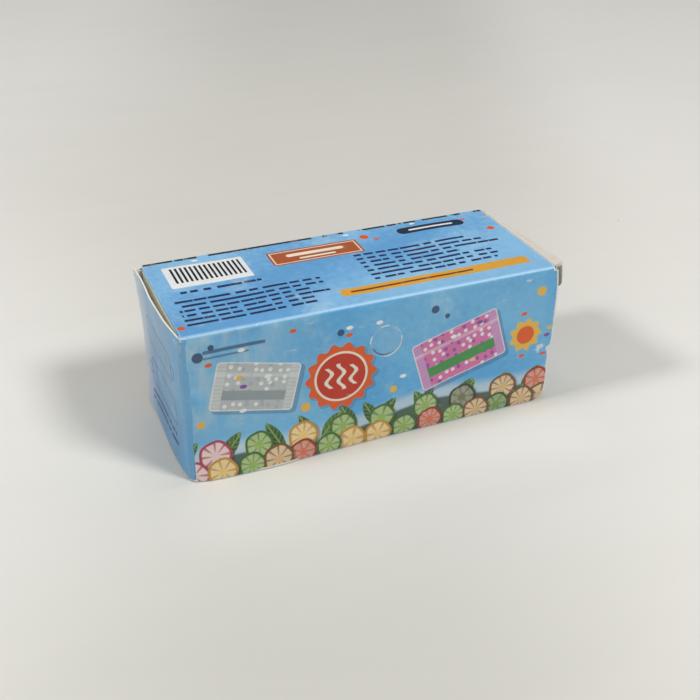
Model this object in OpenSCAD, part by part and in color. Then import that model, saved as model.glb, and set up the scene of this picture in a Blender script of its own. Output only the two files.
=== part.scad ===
// Boxed handheld heat sealer: a tuck-end carton with the sealer lying in it.
// Millimetres. X runs along the carton, the front panel faces -Y, Z is up.
// The origin is in the middle of the carton's underside.

/* [Carton] */
// Length of the top panel between its end creases
sleeve_l = 116; // [112:1:130]
// Outside width of the carton, front to back
carton_w = 48.5; // [46:0.5:60]
// Outside height of the carton
carton_h = 48; // [46:0.5:60]
// Thickness of the board
board_t = 0.5; // [0.4:0.05:0.7]
// Outside radius of the long folds
fold_r = 0.9; // [0.8:0.1:1.5]
// Width of the glue lap inside the back panel
lap_w = 12; // [8:1:16]
// Angle by which the left closure stands open
left_ajar = 2.2; // [0:0.1:4]
// Angle by which the right closure stands open
right_ajar = 0.6; // [0:0.1:2]
// How far the right closure's top edge lies under the top panel
right_drop = 8; // [5:0.5:9]
// How far the right top dust flap bulges out over that edge, at its front end
flap_bulge = 3.8; // [2:0.1:4.5]
// The same at its back end
flap_bulge_back = 0.6; // [0.4:0.1:1.5]
// Length of the tuck tongues
tongue_l = 9; // [6:0.5:10]
// Length of the dust flaps
dust_l = 13; // [9:0.5:13]
// Length of the torn strip at the front panel's lower right end
tear_l = 1.4; // [0.5:0.1:3]
// Height of the torn strip
tear_h = 20; // [8:1:24]
// Diameter of the clear sticker
sticker_d = 10.4; // [6:0.2:14]
// Thickness of the clear sticker
sticker_t = 0.12; // [0.08:0.02:0.3]

/* [Sealer casing] */
// Length from the nose tip to the cell bays
nose_l = 25.7; // [24:0.1:30]
// Distance from the cell bays to the hinge pin
pin_bay = 6.5; // [6:0.1:8]
// Distance from the hinge pin to the tail end
pin_tail = 6.5; // [5.5:0.1:8]
// Wall of the base beside the cell bays
side_wall = 3.1; // [2.6:0.1:4]
// Step from the cell cover down to the nose deck
nose_step = 3; // [2.5:0.1:3.5]
// Height of the hinge pin over the base
pin_rise = 3; // [2.6:0.1:3.5]
// Height of the press arm at the tail
arm_h = 13; // [12:0.5:14]
// Height of the press arm at the nose
arm_nose_h = 9; // [8:0.5:10]
// Corner radius at the nose, seen from above
nose_r = 7; // [5:0.5:8]
// Corner radius at the tail, seen from above
tail_r = 9; // [6:0.5:11]
// Rise of the underside at the nose
rocker_rise = 10; // [9.8:0.1:10.4]
// Length over which the underside rises
rocker_run = 36; // [35:1:40]
// Wall of the press arm
arm_wall = 2; // [1.6:0.1:2.4]
// Floor under the cell bays
bay_floor = 3.6; // [3.2:0.1:4]
// Angle of the press arm at rest, over its pressed place
arm_rest = 4.5; // [3.5:0.25:5]
// Gap over the base when the arm is pressed
press_gap = 0.6; // [0.5:0.1:1]

/* [Cells] */
// Diameter of the cells that the bays take
cell_d = 14.5; // [14:0.1:14.7]
// Length of a cell
cell_l = 50.5; // [50:0.1:51]
// Play around a cell
cell_play = 0.8; // [0.6:0.1:1]
// Room between the cells and their cover
cell_room = 1.5; // [1:0.1:3]
// Thickness of the rib between the bays
bay_rib = 1.2; // [1:0.1:2]
// Thickness of the cell cover
cover_t = 1.6; // [1.4:0.1:2]

/* [Heater and switch] */
// Width of the ceramic head along the sealer
head_x = 6; // [5:0.5:7]
// Distance from the ceramic head's ends to the sealer's sides
head_margin = 6.5; // [6:0.1:9]
// Lip of the base in front of the nose deck
deck_lip = 1.5; // [1.2:0.1:2]
// Rim of the base beside the nose deck
deck_rim = 2.5; // [2:0.1:3]
// Wall between the nose deck and the cell bays
deck_wall = 4; // [3.6:0.1:5]
// Distance from the nose deck's front edge to the ceramic head
head_lip = 2; // [1.5:0.1:3]
// Height of the ceramic head
head_z = 2.6; // [2.2:0.1:3]
// Thickness of the nose deck
deck_t = 2.5; // [2.2:0.1:3]
// Depth of the head's pocket in the deck
pocket_h = 1.4; // [1:0.1:1.6]
// Width of the heating ribbon
ribbon_w = 2; // [1.5:0.1:3]
// Thickness of the heating ribbon
ribbon_t = 0.15; // [0.1:0.01:0.2]
// Thickness of the slip cover
slip_t = 0.15; // [0.1:0.01:0.2]
// Thickness of the brass strips
brass_t = 0.4; // [0.3:0.05:0.5]
// Diameter of the leads
lead_d = 1.4; // [1.2:0.1:1.6]

/* [Springs, pin and screws] */
// Outside diameter of the return spring
spring_d = 6; // [5:0.25:7]
// Wire of the return spring
spring_wire = 0.7; // [0.6:0.05:0.8]
// Turns of the return spring
spring_turns = 6; // [5:1:6]
// Outside diameter of the cell springs
cell_spring_d = 8; // [7:0.5:9]
// Wire of the cell springs
cell_spring_wire = 0.6; // [0.5:0.05:0.7]
// Length of the cell springs with no cell in
cell_spring_l = 5; // [4.5:0.25:5.5]
// Turns of the cell springs
cell_spring_turns = 4; // [3:1:4]
// Radius of the hinge pin
pin_r = 1.5; // [1.2:0.1:1.8]
// Radius of the screw shanks
screw_r = 0.9; // [0.8:0.05:1]
// Radius of the screw heads
screw_head_r = 1.8; // [1.6:0.1:2]

/* [Clearances] */
// Gap at a folding crease
crease_gap = 0.08; // [0.06:0.01:0.12]
// Gap between pieces that are fitted together
fit_gap = 0.1; // [0.05:0.01:0.15]
// Running gap in the hinge
run_gap = 0.05; // [0.03:0.01:0.08]
// Gap under the sealer where it lies in the carton
lie_gap = 0.1; // [0.1:0.01:0.2]
// Gap between the sealer's tail and the right dust flaps
tail_gap = 1; // [0.8:0.1:2]

/* [Hidden] */
$fn = 48;
eps = 0.01;
half_board = board_t / 2;
half_w = carton_w / 2;
half_l = sleeve_l / 2;
inner_w = carton_w - 2 * board_t;
// creases: the dust flaps fold at the sleeve's ends, the closures one board further out
step_l = board_t + fit_gap;
dust_x = half_l + half_board + crease_gap;
hinge_x = half_l + step_l + half_board + crease_gap;
hinge_y = half_w - half_board;
dust_z = carton_h - half_board;
// the tongue's outer face keeps inside the panel it tucks behind while it swings
tongue_y = sqrt(pow(hinge_y + half_w - board_t - 0.3, 2) - pow(tongue_l, 2)) - hinge_y;
tongue_x = hinge_x - tongue_l;
closure_z0 = board_t + 0.1;
closure_z1 = carton_h - 0.2;
// the panels that a tongue tucks behind reach out to the closure's outer face
tuck_l = hinge_x + half_board - half_l;
// the sealer's length, width and height follow from the cells
bay_w = cell_d + cell_play;
bay_l = cell_l + cell_spring_l + 2 * brass_t;
sealer_l = nose_l + bay_l + pin_bay + pin_tail;
base_w = 2 * bay_w + bay_rib + 2 * side_wall;
base_h = bay_floor + cell_d + cell_play + cell_room + cover_t;
nose_h = base_h - nose_step;
head_y = base_w - 2 * head_margin;
// where the sealer lies
nose_x = -sealer_l / 2;
tail_x = sealer_l / 2;
sealer_x = dust_x - half_board - tail_gap - tail_x;
sealer_z = board_t + lie_gap;
// heights in the sealer
arm_z = base_h + press_gap;
arm_top = arm_z + arm_h;
arm_nose_top = arm_z + arm_nose_h;
pin_x = tail_x - pin_tail;
pin_z = base_h + pin_rise;
rocker_x = nose_x + rocker_run;
rocker_r = (pow(rocker_run, 2) + pow(rocker_rise, 2)) / (2 * rocker_rise);
// cell bays
bay_y = (bay_w + bay_rib) / 2;
bay_x1 = pin_x - pin_bay;
bay_x0 = bay_x1 - bay_l;
bay_z = bay_floor + cell_d / 2 + cell_play / 2;
ledge = 1.3;
cover_z = base_h - cover_t;
cover_x0 = bay_x0 - ledge;
cover_x1 = bay_x1 + ledge;
cover_y = bay_w + bay_rib / 2 + ledge;
contact_h = cell_d - 3;
// nose deck and what lies on it
deck_x0 = nose_x + deck_lip;
deck_x1 = bay_x0 - deck_wall;
deck_y = base_w / 2 - deck_rim;
deck_z = nose_h - deck_t;
cavity_x0 = deck_x0 + 1.5;
cavity_x1 = deck_x1 - 1.2;
cavity_z = rocker_rise + 2.6;
head_x0 = deck_x0 + head_lip;
head_cx = head_x0 + head_x / 2;
head_top = nose_h - pocket_h + head_z;
ribbon_top = head_top + ribbon_t;
slip_top = ribbon_top + fit_gap + slip_t;
pad_z = slip_top + 0.15;
pad_x = head_x - 1;
terminal_y = head_y / 2 + 1.9;
spring_x = (head_x0 + head_x + deck_x1) / 2;
spring_y = 0;
seat_h = 1.2;
seat_z = nose_h - seat_h;
switch_y = -9;
leaf_x = head_x0 + head_x + 2.2;
anvil_x = deck_x1 - 2.7;
screw_x = deck_x1 - 3.7;
screw_y = deck_y - 3.5;
rivet_r = 0.8;
rivet_z = cavity_z + 0.7;
cavity_y = terminal_y + rivet_r + 0.3;
tab_y = bay_y - 3.2;
// arm
liner_t = 2.2;
liner_x0 = head_x0 + head_x + 1.5;
liner_x1 = pin_x - 10;
liner_y = base_w / 2 - arm_wall - 0.3;
bar_x0 = head_x0 - 0.5;
bar_x1 = head_x0 + head_x + 0.5;
ear_y0 = 11.3;
ear_t = 3.5;
ear_r = pin_r + 2.5;
ear_gap = 0.3;
block_y = ear_y0 - ear_gap - 0.1;
boss_x = [-16, 14];
// spring ends at rest: the liner's underside over the seat, turned up with the arm
spring_arm = pin_x - spring_x;
liner_rise = spring_arm * sin(arm_rest) + (pin_z - arm_z) * (1 - cos(arm_rest));
spring_top = arm_z + liner_rise - spring_d / 2 * sin(arm_rest) - 0.15;

// Outlines with rounded corners: each point is [x, y, radius]
function unit(v) = v / norm(v);
function corner(p0, p1, p2, r, n) =
    let (
        a = unit(p0 - p1),
        b = unit(p2 - p1),
        half = acos(a * b) / 2,
        middle = p1 + unit(a + b) * r / sin(half),
        from = p1 + a * r / tan(half) - middle,
        to = p1 + b * r / tan(half) - middle,
        a0 = atan2(from.y, from.x),
        turn = atan2(to.y, to.x) - a0,
        sweep = turn > 180 ? turn - 360 : turn < -180 ? turn + 360 : turn
    )
    [for (i = [0:n]) middle + r * [cos(a0 + sweep * i / n), sin(a0 + sweep * i / n)]];
function rounded(pts, n = 5) =
    let (count = len(pts), flat = [for (p = pts) [p.x, p.y]])
    [
        for (i = [0:count - 1])
            each pts[i][2] > 0
                ? corner(flat[(i + count - 1) % count], flat[i], flat[(i + 1) % count], pts[i][2], n)
                : [flat[i]]
    ];

// Outline in X and Z, drawn out along Y
module prism_y(outline, w) {
    rotate([90, 0, 0]) linear_extrude(height = w, center = true) polygon(outline);
}

// Outline in Y and Z, drawn out along X
module prism_x(outline, l) {
    rotate([90, 0, 90]) linear_extrude(height = l, center = true) polygon(outline);
}

// Block between two corners
module block(a, b) {
    translate(a) cube(b - a);
}

// Round bar along Y
module bar_y(x, z, r, w) {
    translate([x, 0, z]) rotate([90, 0, 0]) cylinder(r = r, h = w, center = true);
}

// Tube along a row of points
module tube(path, d, sides) {
    last = len(path) - 1;
    rings = [
        for (i = [0:last])
            let (
                t = unit(path[min(i + 1, last)] - path[max(i - 1, 0)]),
                u = unit(cross(t, [0, 0, 1])),
                v = cross(u, t)
            )
            for (k = [0:sides - 1])
                path[i] + d / 2 * (cos(360 * k / sides) * u + sin(360 * k / sides) * v)
    ];
    skin = [
        for (i = [0:last - 1])
            for (k = [0:sides - 1])
                let (a = i * sides + k, b = i * sides + (k + 1) % sides)
                each [[a, b, b + sides], [a, b + sides, a + sides]]
    ];
    ends = [[for (k = [sides - 1:-1:0]) k], [for (k = [0:sides - 1]) last * sides + k]];
    polyhedron(points = rings, faces = concat(skin, ends), convexity = 6);
}

// Helix along Z, from z0 to z1
function helix(d, z0, z1, turns, rings) =
    [
        for (i = [0:turns * rings])
            let (a = 360 * i / rings)
            [d / 2 * cos(a), d / 2 * sin(a), z0 + (z1 - z0) * i / (turns * rings)]
    ];
// Least distance between points of a helix that are over half a turn apart
function self_gap(path, rings, wire) =
    min([
        for (i = [0:len(path) - 1])
            for (j = [i + rings / 2:1:len(path) - 1])
                norm(path[i] - path[j])
    ]) - wire;

// Smooth route through four control points
function route(a, b, c, d, n = 10) =
    [
        for (i = [0:n])
            let (t = i / n, s = 1 - t)
            s * s * s * a + 3 * s * s * t * b + 3 * s * t * t * c + t * t * t * d
    ];

// Screw with a pan head, its head's underside at zero, shank down
module screw(shank) {
    cylinder(r = screw_head_r, h = 1.1);
    translate([0, 0, -shank]) cylinder(r = screw_r, h = shank + eps);
}

// Places and turns
module in_carton() {
    translate([sealer_x, 0, sealer_z]) children();
}

module arm_at_rest() {
    translate([pin_x, 0, pin_z]) rotate([0, arm_rest, 0]) translate([-pin_x, 0, -pin_z]) children();
}

module right_end() {
    rotate([0, 0, 180]) children();
}

// Carton
function tube_outline(inset, r) =
    let (w = half_w - inset, h = carton_h - inset)
    rounded([[-w, inset, r], [w, inset, r], [w, h, r], [-w, h, r]]);

module carton_sleeve() {
    color([0.55, 0.74, 0.9])
    difference() {
        union() {
            difference() {
                prism_x(tube_outline(0, fold_r), sleeve_l);
                prism_x(tube_outline(board_t, fold_r - board_t), sleeve_l + 2);
            }
            // the panels that carry a closure are one board longer at that end, and those across from them more
            block([-half_l - step_l, -half_w, fold_r], [-half_l + eps, -half_w + board_t, carton_h - fold_r]);
            block([half_l - eps, half_w - board_t, fold_r], [half_l + step_l, half_w, carton_h - fold_r]);
            block([half_l - eps, -half_w, fold_r], [half_l + tuck_l, -half_w + board_t, carton_h - fold_r]);
            block([-half_l - tuck_l, half_w - board_t, fold_r], [-half_l + eps, half_w, carton_h - fold_r]);
            // glue lap
            block(
                [-half_l + tongue_l + 3, half_w - 2 * board_t, board_t - eps],
                [half_l - 1, half_w - board_t + eps, board_t + lap_w]
            );
        }
        // torn strip at the front panel's lower right end
        block(
            [half_l + tuck_l - tear_l, -half_w - 1, -1],
            [half_l + tuck_l + 1, -half_w + board_t + eps, tear_h]
        );
    }
}

// Closure panel of the left end, shut flat, up to a height
module closure_flat(top) {
    translate([-hinge_x, -hinge_y, closure_z0]) cylinder(r = half_board, h = top - closure_z0);
    block(
        [-hinge_x - half_board, -hinge_y, closure_z0],
        [-hinge_x + half_board, tongue_y, top]
    );
    // tongue, with its corners cut back
    translate([0, tongue_y - half_board, 0])
        prism_y(
            rounded([
                [-hinge_x, closure_z0 + 1.2, 0],
                [-tongue_x, closure_z0 + 4.5, 2],
                [-tongue_x, top - 4.5, 2],
                [-hinge_x, top - 1.2, 0]
            ]),
            board_t
        );
}

module closure(ajar, top) {
    translate([-hinge_x, -hinge_y, 0]) rotate([0, 0, ajar]) translate([hinge_x, hinge_y, 0]) closure_flat(top);
}

// Sides of a dust flap of the left end: by the closure's crease, and by the tongue
flap_y0 = -hinge_y + 1.2;
flap_y1 = tongue_y - board_t - 0.6;

// Roll of board along the crease of a dust flap
module crease_roll() {
    translate([-dust_x, (flap_y0 + flap_y1) / 2, dust_z])
        rotate([90, 0, 0]) cylinder(r = half_board, h = flap_y1 - flap_y0, center = true);
}

// Dust flap of the left end, on the top panel; its side by the closure's crease is cut slanted
module dust_flap() {
    trim = 0.2;
    crease_roll();
    translate([-dust_x, 0, dust_z])
        prism_x(
            rounded([
                [flap_y0 + trim, 0, 0],
                [flap_y0 + trim, -board_t, 0],
                [flap_y0 + 1.05 * dust_l, -dust_l, 1.5],
                [flap_y1 - 2.5, -dust_l, 1.5],
                [flap_y1 - trim, -dust_l + 6, 1],
                [flap_y1 - trim, 0, 0]
            ]),
            0.96 * board_t
        );
}

// The same flap, bulging out over a length under its crease, more so by the tongue.
// Its middle line at one place, outward and up from the crease, down to a depth.
function bulge_line(b, length, depth) =
    [
        [0, 0], [b - 0.45, 0], [b - 0.1, -0.2], [b, -0.6], [0.95 * b, 1.1 - length],
        [0.6 * b, 0.35 - length], [0, -length], [0, -max(depth, length + 0.1)]
    ];
// One face of the board along that line, on the outer or the inner side
function board_face(line, side) =
    [
        for (i = [0:len(line) - 1])
            let (
                a = unit(line[min(i + 1, len(line) - 1)] - line[min(i, len(line) - 2)]),
                c = unit(line[max(i, 1)] - line[max(i - 1, 0)]),
                n = unit([-a.y, a.x] + [-c.y, c.x])
            )
            line[i] + side * half_board / max(0.6, n * [-a.y, a.x]) * n
    ];

module bulged_flap(length) {
    crease_roll();
    n = 12;
    count = 8;
    stations = [
        for (i = [0:n])
            let (
                f = i / n,
                y = flap_y0 + (flap_y1 - flap_y0) * f,
                depth = min(dust_l, (y - flap_y0) / 1.05, dust_l - 6 + (flap_y1 - y) * 2.4),
                line = bulge_line(flap_bulge_back + (flap_bulge - flap_bulge_back) * f, length, depth),
                outer = board_face(line, 1),
                inner = board_face(line, -1)
            )
            for (k = [0:2 * count - 1])
                let (q = k < count ? outer[k] : inner[2 * count - 1 - k])
                [-dust_x - q.x, y, dust_z + q.y]
    ];
    ring = 2 * count;
    skin = [
        for (i = [0:n - 1])
            for (k = [0:ring - 1])
                let (a = i * ring + k, b = i * ring + (k + 1) % ring)
                each [[a, b, b + ring], [a, b + ring, a + ring]]
    ];
    // the end faces, as strips between the two sides of the board
    caps = [
        for (k = [0:count - 2])
            let (j = ring - 1 - k)
            each [
                [k, j, k + 1], [k + 1, j, j - 1],
                [n * ring + k, n * ring + k + 1, n * ring + j], [n * ring + k + 1, n * ring + j - 1, n * ring + j]
            ]
    ];
    polyhedron(points = stations, faces = concat(skin, caps), convexity = 6);
}

module low_dust_flap() {
    translate([0, 0, carton_h]) mirror([0, 0, 1]) dust_flap();
}

module left_closure() {
    color([0.5, 0.66, 0.8]) closure(left_ajar, closure_z1);
}

module left_top_dust_flap() {
    color([0.93, 0.91, 0.86]) dust_flap();
}

module left_bottom_dust_flap() {
    color([0.93, 0.91, 0.86]) low_dust_flap();
}

module right_closure() {
    color([0.5, 0.66, 0.8]) right_end() closure(right_ajar, closure_z1 - right_drop);
}

module right_top_dust_flap() {
    color([0.93, 0.91, 0.86]) right_end() bulged_flap(right_drop - 0.2);
}

module right_bottom_dust_flap() {
    color([0.93, 0.91, 0.86]) right_end() low_dust_flap();
}

module clear_sticker() {
    color([0.85, 0.92, 0.97])
    translate([0.015 * sleeve_l, -half_w, 0.715 * carton_h])
        rotate([90, 0, 0]) cylinder(d = sticker_d, h = sticker_t);
}

// Sealer: outline of base and arm seen from above
function plan(inset) =
    rounded([
        [nose_x + inset, -base_w / 2 + inset, nose_r - inset],
        [tail_x - inset, -base_w / 2 + inset, tail_r - inset],
        [tail_x - inset, base_w / 2 - inset, tail_r - inset],
        [nose_x + inset, base_w / 2 - inset, nose_r - inset]
    ]);

// Underside of the nose, from the tip back to where the base lies flat
function rocker(n = 8) =
    [
        for (i = [0:n])
            let (x = nose_x + rocker_run * i / n)
            [x, rocker_r - sqrt(pow(rocker_r, 2) - pow(rocker_x - x, 2))]
    ];

module base_body() {
    side = concat(
        rocker(),
        rounded([[tail_x, 0, 3], [tail_x, base_h, 2], [deck_x1 + 2.5, base_h, 0.8], [deck_x1 + 0.2, nose_h, 0.8]]),
        [[nose_x, nose_h]]
    );
    intersection() {
        prism_y(side, base_w + 2);
        linear_extrude(height = base_h + 1) polygon(plan(0));
    }
    // hinge block
    block([pin_x - ear_r, -block_y, base_h - 1], [pin_x + ear_r, block_y, pin_z]);
    bar_y(pin_x, pin_z, ear_r, 2 * block_y);
}

// Outline of the nose deck, seen from above
function deck_plan(inset) =
    let (r = nose_r - deck_rim)
    rounded([
        [deck_x0 + inset, -deck_y + inset, r],
        [deck_x1 - inset, -deck_y + inset, 0],
        [deck_x1 - inset, deck_y - inset, 0],
        [deck_x0 + inset, deck_y - inset, r]
    ]);

module base_shell() {
    color([0.84, 0.85, 0.85])
    in_carton()
    difference() {
        union() {
            difference() {
                base_body();
                // bed of the deck and the hollow under it
                translate([0, 0, deck_z]) linear_extrude(height = deck_t + 5) polygon(deck_plan(0));
                block([cavity_x0, -cavity_y, cavity_z], [cavity_x1, cavity_y, deck_z + eps]);
            }
            // screw posts under the deck
            for (s = [-1, 1])
                translate([screw_x, s * screw_y, cavity_z - eps]) cylinder(r = 2.2, h = deck_z - cavity_z + eps);
        }
        // cell bays with the rib between them, and the bed of their cover
        for (s = [-1, 1])
            block(
                [bay_x0, s * bay_y - bay_w / 2, bay_floor],
                [bay_x1, s * bay_y + bay_w / 2, base_h + 1]
            );
        block([bay_x0, -bay_rib, bay_floor], [bay_x0 + 6, bay_rib, base_h + 1]);
        block([bay_x1 - 6, -bay_rib, bay_floor], [bay_x1, bay_rib, base_h + 1]);
        block([bay_x0, -bay_rib, bay_z], [bay_x1, bay_rib, base_h + 1]);
        block([cover_x0, -cover_y, cover_z], [cover_x1, cover_y, base_h + 1]);
        // slots for the contact tabs
        for (s = [-1, 1])
            block(
                [cavity_x1 - 1, s * tab_y - 1.6, bay_z + 2],
                [bay_x0 + 1, s * tab_y + 1.6, bay_z + 2 + brass_t + 0.4]
            );
        bar_y(pin_x, pin_z, pin_r + 0.01, base_w);
        // grooves that the arm's ears turn in
        for (s = [-1, 1])
            translate([0, s * (ear_y0 + ear_t / 2), 0]) bar_y(pin_x, pin_z, ear_r + ear_gap, ear_t + 2 * ear_gap);
        for (s = [-1, 1])
            translate([screw_x, s * screw_y, deck_z - 3]) cylinder(r = screw_r + 0.02, h = 4);
    }
}

module nose_deck() {
    color([0.8, 0.81, 0.8])
    in_carton()
    difference() {
        translate([0, 0, deck_z]) linear_extrude(height = deck_t) polygon(deck_plan(fit_gap));
        block(
            [head_x0 - fit_gap, -head_y / 2 - fit_gap, nose_h - pocket_h],
            [head_x0 + head_x + fit_gap, head_y / 2 + fit_gap, nose_h + 1]
        );
        translate([spring_x, spring_y, seat_z]) cylinder(d = spring_d + 0.8, h = seat_h + 1);
        for (s = [-1, 1]) {
            translate([screw_x, s * screw_y, deck_z - 1]) cylinder(r = screw_r + fit_gap, h = deck_t + 2);
            translate([head_cx, s * terminal_y, deck_z - 1]) cylinder(r = rivet_r + 0.02, h = deck_t + 2);
        }
        for (x = [leaf_x, anvil_x])
            translate([x, switch_y, deck_z - 1]) cylinder(r = rivet_r + 0.02, h = deck_t + 2);
    }
}

module cell_cover() {
    color([0.8, 0.81, 0.8])
    in_carton()
    difference() {
        block(
            [cover_x0 + fit_gap, -cover_y + fit_gap, cover_z],
            [cover_x1 - fit_gap, cover_y - fit_gap, base_h]
        );
        // finger hollow to lift it by
        translate([cover_x0 + 5, 0, base_h + 3]) rotate([90, 0, 0]) cylinder(r = 4, h = 14, center = true);
    }
}

module hinge_pin() {
    color([0.72, 0.73, 0.75])
    in_carton() bar_y(pin_x, pin_z, pin_r, 2 * (ear_y0 + ear_t));
}

// Side of the press arm as it lies pressed, drawn in by a wall
function arm_side(inset) =
    rounded([
        [nose_x + inset, arm_z - (inset > 0 ? 1 : 0), 0],
        [pin_x, arm_z - (inset > 0 ? 1 : 0), 0],
        [tail_x - inset, arm_z + 1.5 - (inset > 0 ? 1 : 0), 0],
        [tail_x - inset, arm_top - inset, 7],
        [pin_x - 20, arm_top - inset, 60],
        [nose_x + 7, arm_nose_top - inset, 10],
        [nose_x + inset, arm_nose_top - 3 - inset, 1.5]
    ]);

// Height of the arm's top at a place along it, as it lies pressed
function roof(x) =
    let (x0 = nose_x + 7, x1 = pin_x - 20)
    min(arm_top, arm_nose_top + (arm_top - arm_nose_top) * (x - x0) / (x1 - x0));

// Cross-section of the arm with its rounded top edges, along the flat and the sloping stretch of its top
module arm_section(inset) {
    round_top = 4;
    w = base_w / 2 - inset;
    h = arm_top - inset;
    low = arm_z - 8;
    x1 = pin_x - 20;
    slope = atan((arm_top - arm_nose_top) / (x1 - nose_x - 7));
    outline = rounded([[-w, low, 0], [w, low, 0], [w, h, round_top - inset], [-w, h, round_top - inset]]);
    intersection() {
        prism_x(outline, sealer_l + 2);
        translate([x1, 0, h]) rotate([0, -slope, 0]) translate([-x1, 0, -h]) prism_x(outline, 2 * sealer_l);
    }
}

module press_arm() {
    color([0.88, 0.89, 0.89])
    in_carton() arm_at_rest()
    difference() {
        union() {
            difference() {
                intersection() {
                    prism_y(arm_side(0), base_w + 2);
                    translate([0, 0, arm_z - 1]) linear_extrude(height = arm_h + 2) polygon(plan(0));
                    arm_section(0);
                }
                intersection() {
                    prism_y(arm_side(arm_wall), base_w - 2 * arm_wall + 2);
                    translate([0, 0, arm_z - 2]) linear_extrude(height = arm_h + 2) polygon(plan(arm_wall));
                    arm_section(arm_wall);
                }
            }
            // bar over the jaw, that holds the pad
            block([bar_x0, -head_y / 2 - 2, arm_z], [bar_x1, head_y / 2 + 2, arm_nose_top - arm_wall + 0.2]);
            // ears on the hinge pin
            for (s = [-1, 1]) {
                translate([0, s * (ear_y0 + ear_t / 2), 0]) {
                    bar_y(pin_x, pin_z, ear_r, ear_t);
                    block(
                        [pin_x - ear_r, -ear_t / 2, pin_z],
                        [pin_x + ear_r, ear_t / 2, arm_top - arm_wall + 0.2]
                    );
                }
            }
            // posts for the liner's screws, up into the roof
            for (x = boss_x)
                translate([x, 0, arm_z + liner_t]) cylinder(r = 2.6, h = roof(x) - arm_wall / 2 - arm_z - liner_t);
        }
        bar_y(pin_x, pin_z, pin_r + run_gap, 2 * (ear_y0 + ear_t) + 0.2);
        block(
            [head_cx - pad_x / 2, -head_y / 2, arm_z - 1],
            [head_cx + pad_x / 2, head_y / 2, arm_z + 1.3]
        );
        for (x = boss_x)
            translate([x, 0, arm_z + liner_t - 1]) cylinder(r = screw_r + 0.02, h = 5);
    }
}

module arm_liner() {
    color([0.78, 0.79, 0.78])
    in_carton() arm_at_rest()
    difference() {
        union() {
            block([liner_x0, -liner_y, arm_z], [liner_x1, liner_y, arm_z + liner_t]);
            // post inside the return spring
            translate([spring_x, spring_y, arm_z - 1.4])
                cylinder(d = spring_d - 2 * spring_wire - 0.8, h = 1.4 + eps);
            // peg over the switch leaf
            translate([anvil_x, switch_y, nose_h + 3 * brass_t + 0.8])
                cylinder(r = 1.3, h = arm_z - nose_h - 3 * brass_t - 0.8 + eps);
        }
        for (x = boss_x) {
            translate([x, 0, arm_z - 1]) cylinder(r = screw_r + fit_gap, h = liner_t + 2);
            translate([x, 0, arm_z - 1]) cylinder(r = screw_head_r + fit_gap, h = 2.2);
        }
    }
}

module silicone_pad() {
    color([0.75, 0.3, 0.24])
    in_carton() arm_at_rest()
    block(
        [head_cx - pad_x / 2 + 0.02, -head_y / 2 + 0.02, pad_z],
        [head_cx + pad_x / 2 - 0.02, head_y / 2 - 0.02, arm_z + 1.3]
    );
}

module return_spring() {
    rings = 8;
    path = helix(spring_d - spring_wire, seat_z + spring_wire / 2 + 0.02, spring_top - spring_wire / 2,
        spring_turns, rings);
    echo(str("return spring least gap to itself ", self_gap(path, rings, spring_wire)));
    color([0.7, 0.71, 0.73])
    in_carton() translate([spring_x, spring_y, 0]) tube(path, spring_wire, 6);
}

module ceramic_head() {
    color([0.93, 0.91, 0.87])
    in_carton()
    block([head_x0, -head_y / 2, nose_h - pocket_h], [head_x0 + head_x, head_y / 2, head_top]);
}

// Ribbon over the head, down its ends and out under the terminals
module heating_ribbon() {
    y1 = head_y / 2 + fit_gap;
    color([0.6, 0.58, 0.55])
    in_carton()
    difference() {
        union() {
            block([head_cx - ribbon_w / 2, -y1 - ribbon_t, head_top], [head_cx + ribbon_w / 2, y1 + ribbon_t, ribbon_top]);
            for (s = [0, 1])
                mirror([0, s, 0]) {
                    block([head_cx - ribbon_w / 2, y1, nose_h], [head_cx + ribbon_w / 2, y1 + ribbon_t, ribbon_top]);
                    block(
                        [head_cx - ribbon_w / 2, y1, nose_h],
                        [head_cx + ribbon_w / 2, terminal_y + 1.2, nose_h + ribbon_t]
                    );
                }
        }
        for (s = [-1, 1])
            translate([head_cx, s * terminal_y, nose_h - 1]) cylinder(r = rivet_r + 0.02, h = 3);
    }
}

module slip_cover() {
    x0 = head_x0 - fit_gap;
    x1 = head_x0 + head_x + fit_gap;
    y1 = head_y / 2 - 0.3;
    color([0.72, 0.55, 0.36])
    in_carton() {
        block([x0 - slip_t, -y1, slip_top - slip_t], [x1 + slip_t, y1, slip_top]);
        block([x0 - slip_t, -y1, nose_h], [x0, y1, slip_top]);
        block([x1, -y1, nose_h], [x1 + slip_t, y1, slip_top]);
    }
}

module heater_terminals() {
    color([0.8, 0.66, 0.34])
    in_carton()
    for (s = [-1, 1])
        translate([head_cx, s * terminal_y, 0]) {
            translate([0, 0, nose_h + ribbon_t])
                linear_extrude(height = brass_t) square([3.4, 2.4], center = true);
            translate([0, 0, rivet_z]) cylinder(r = rivet_r, h = nose_h - rivet_z + ribbon_t + brass_t + 0.3);
        }
}

// Leaf riveted on the deck, sprung up over the anvil
module switch_leaf() {
    high = nose_h + 2 * brass_t + 0.7;
    color([0.8, 0.66, 0.34])
    in_carton() {
        translate([0, switch_y, 0])
            prism_y(
                [
                    [leaf_x - 1.4, nose_h],
                    [leaf_x + 1.6, nose_h],
                    [anvil_x - 2.4, high],
                    [anvil_x + 1.6, high],
                    [anvil_x + 1.6, high + brass_t],
                    [anvil_x - 2.4, high + brass_t],
                    [leaf_x + 1.6, nose_h + brass_t],
                    [leaf_x - 1.4, nose_h + brass_t]
                ],
                3.2
            );
        translate([leaf_x, switch_y, rivet_z]) cylinder(r = rivet_r, h = nose_h - rivet_z + brass_t + 0.3);
    }
}

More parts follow.
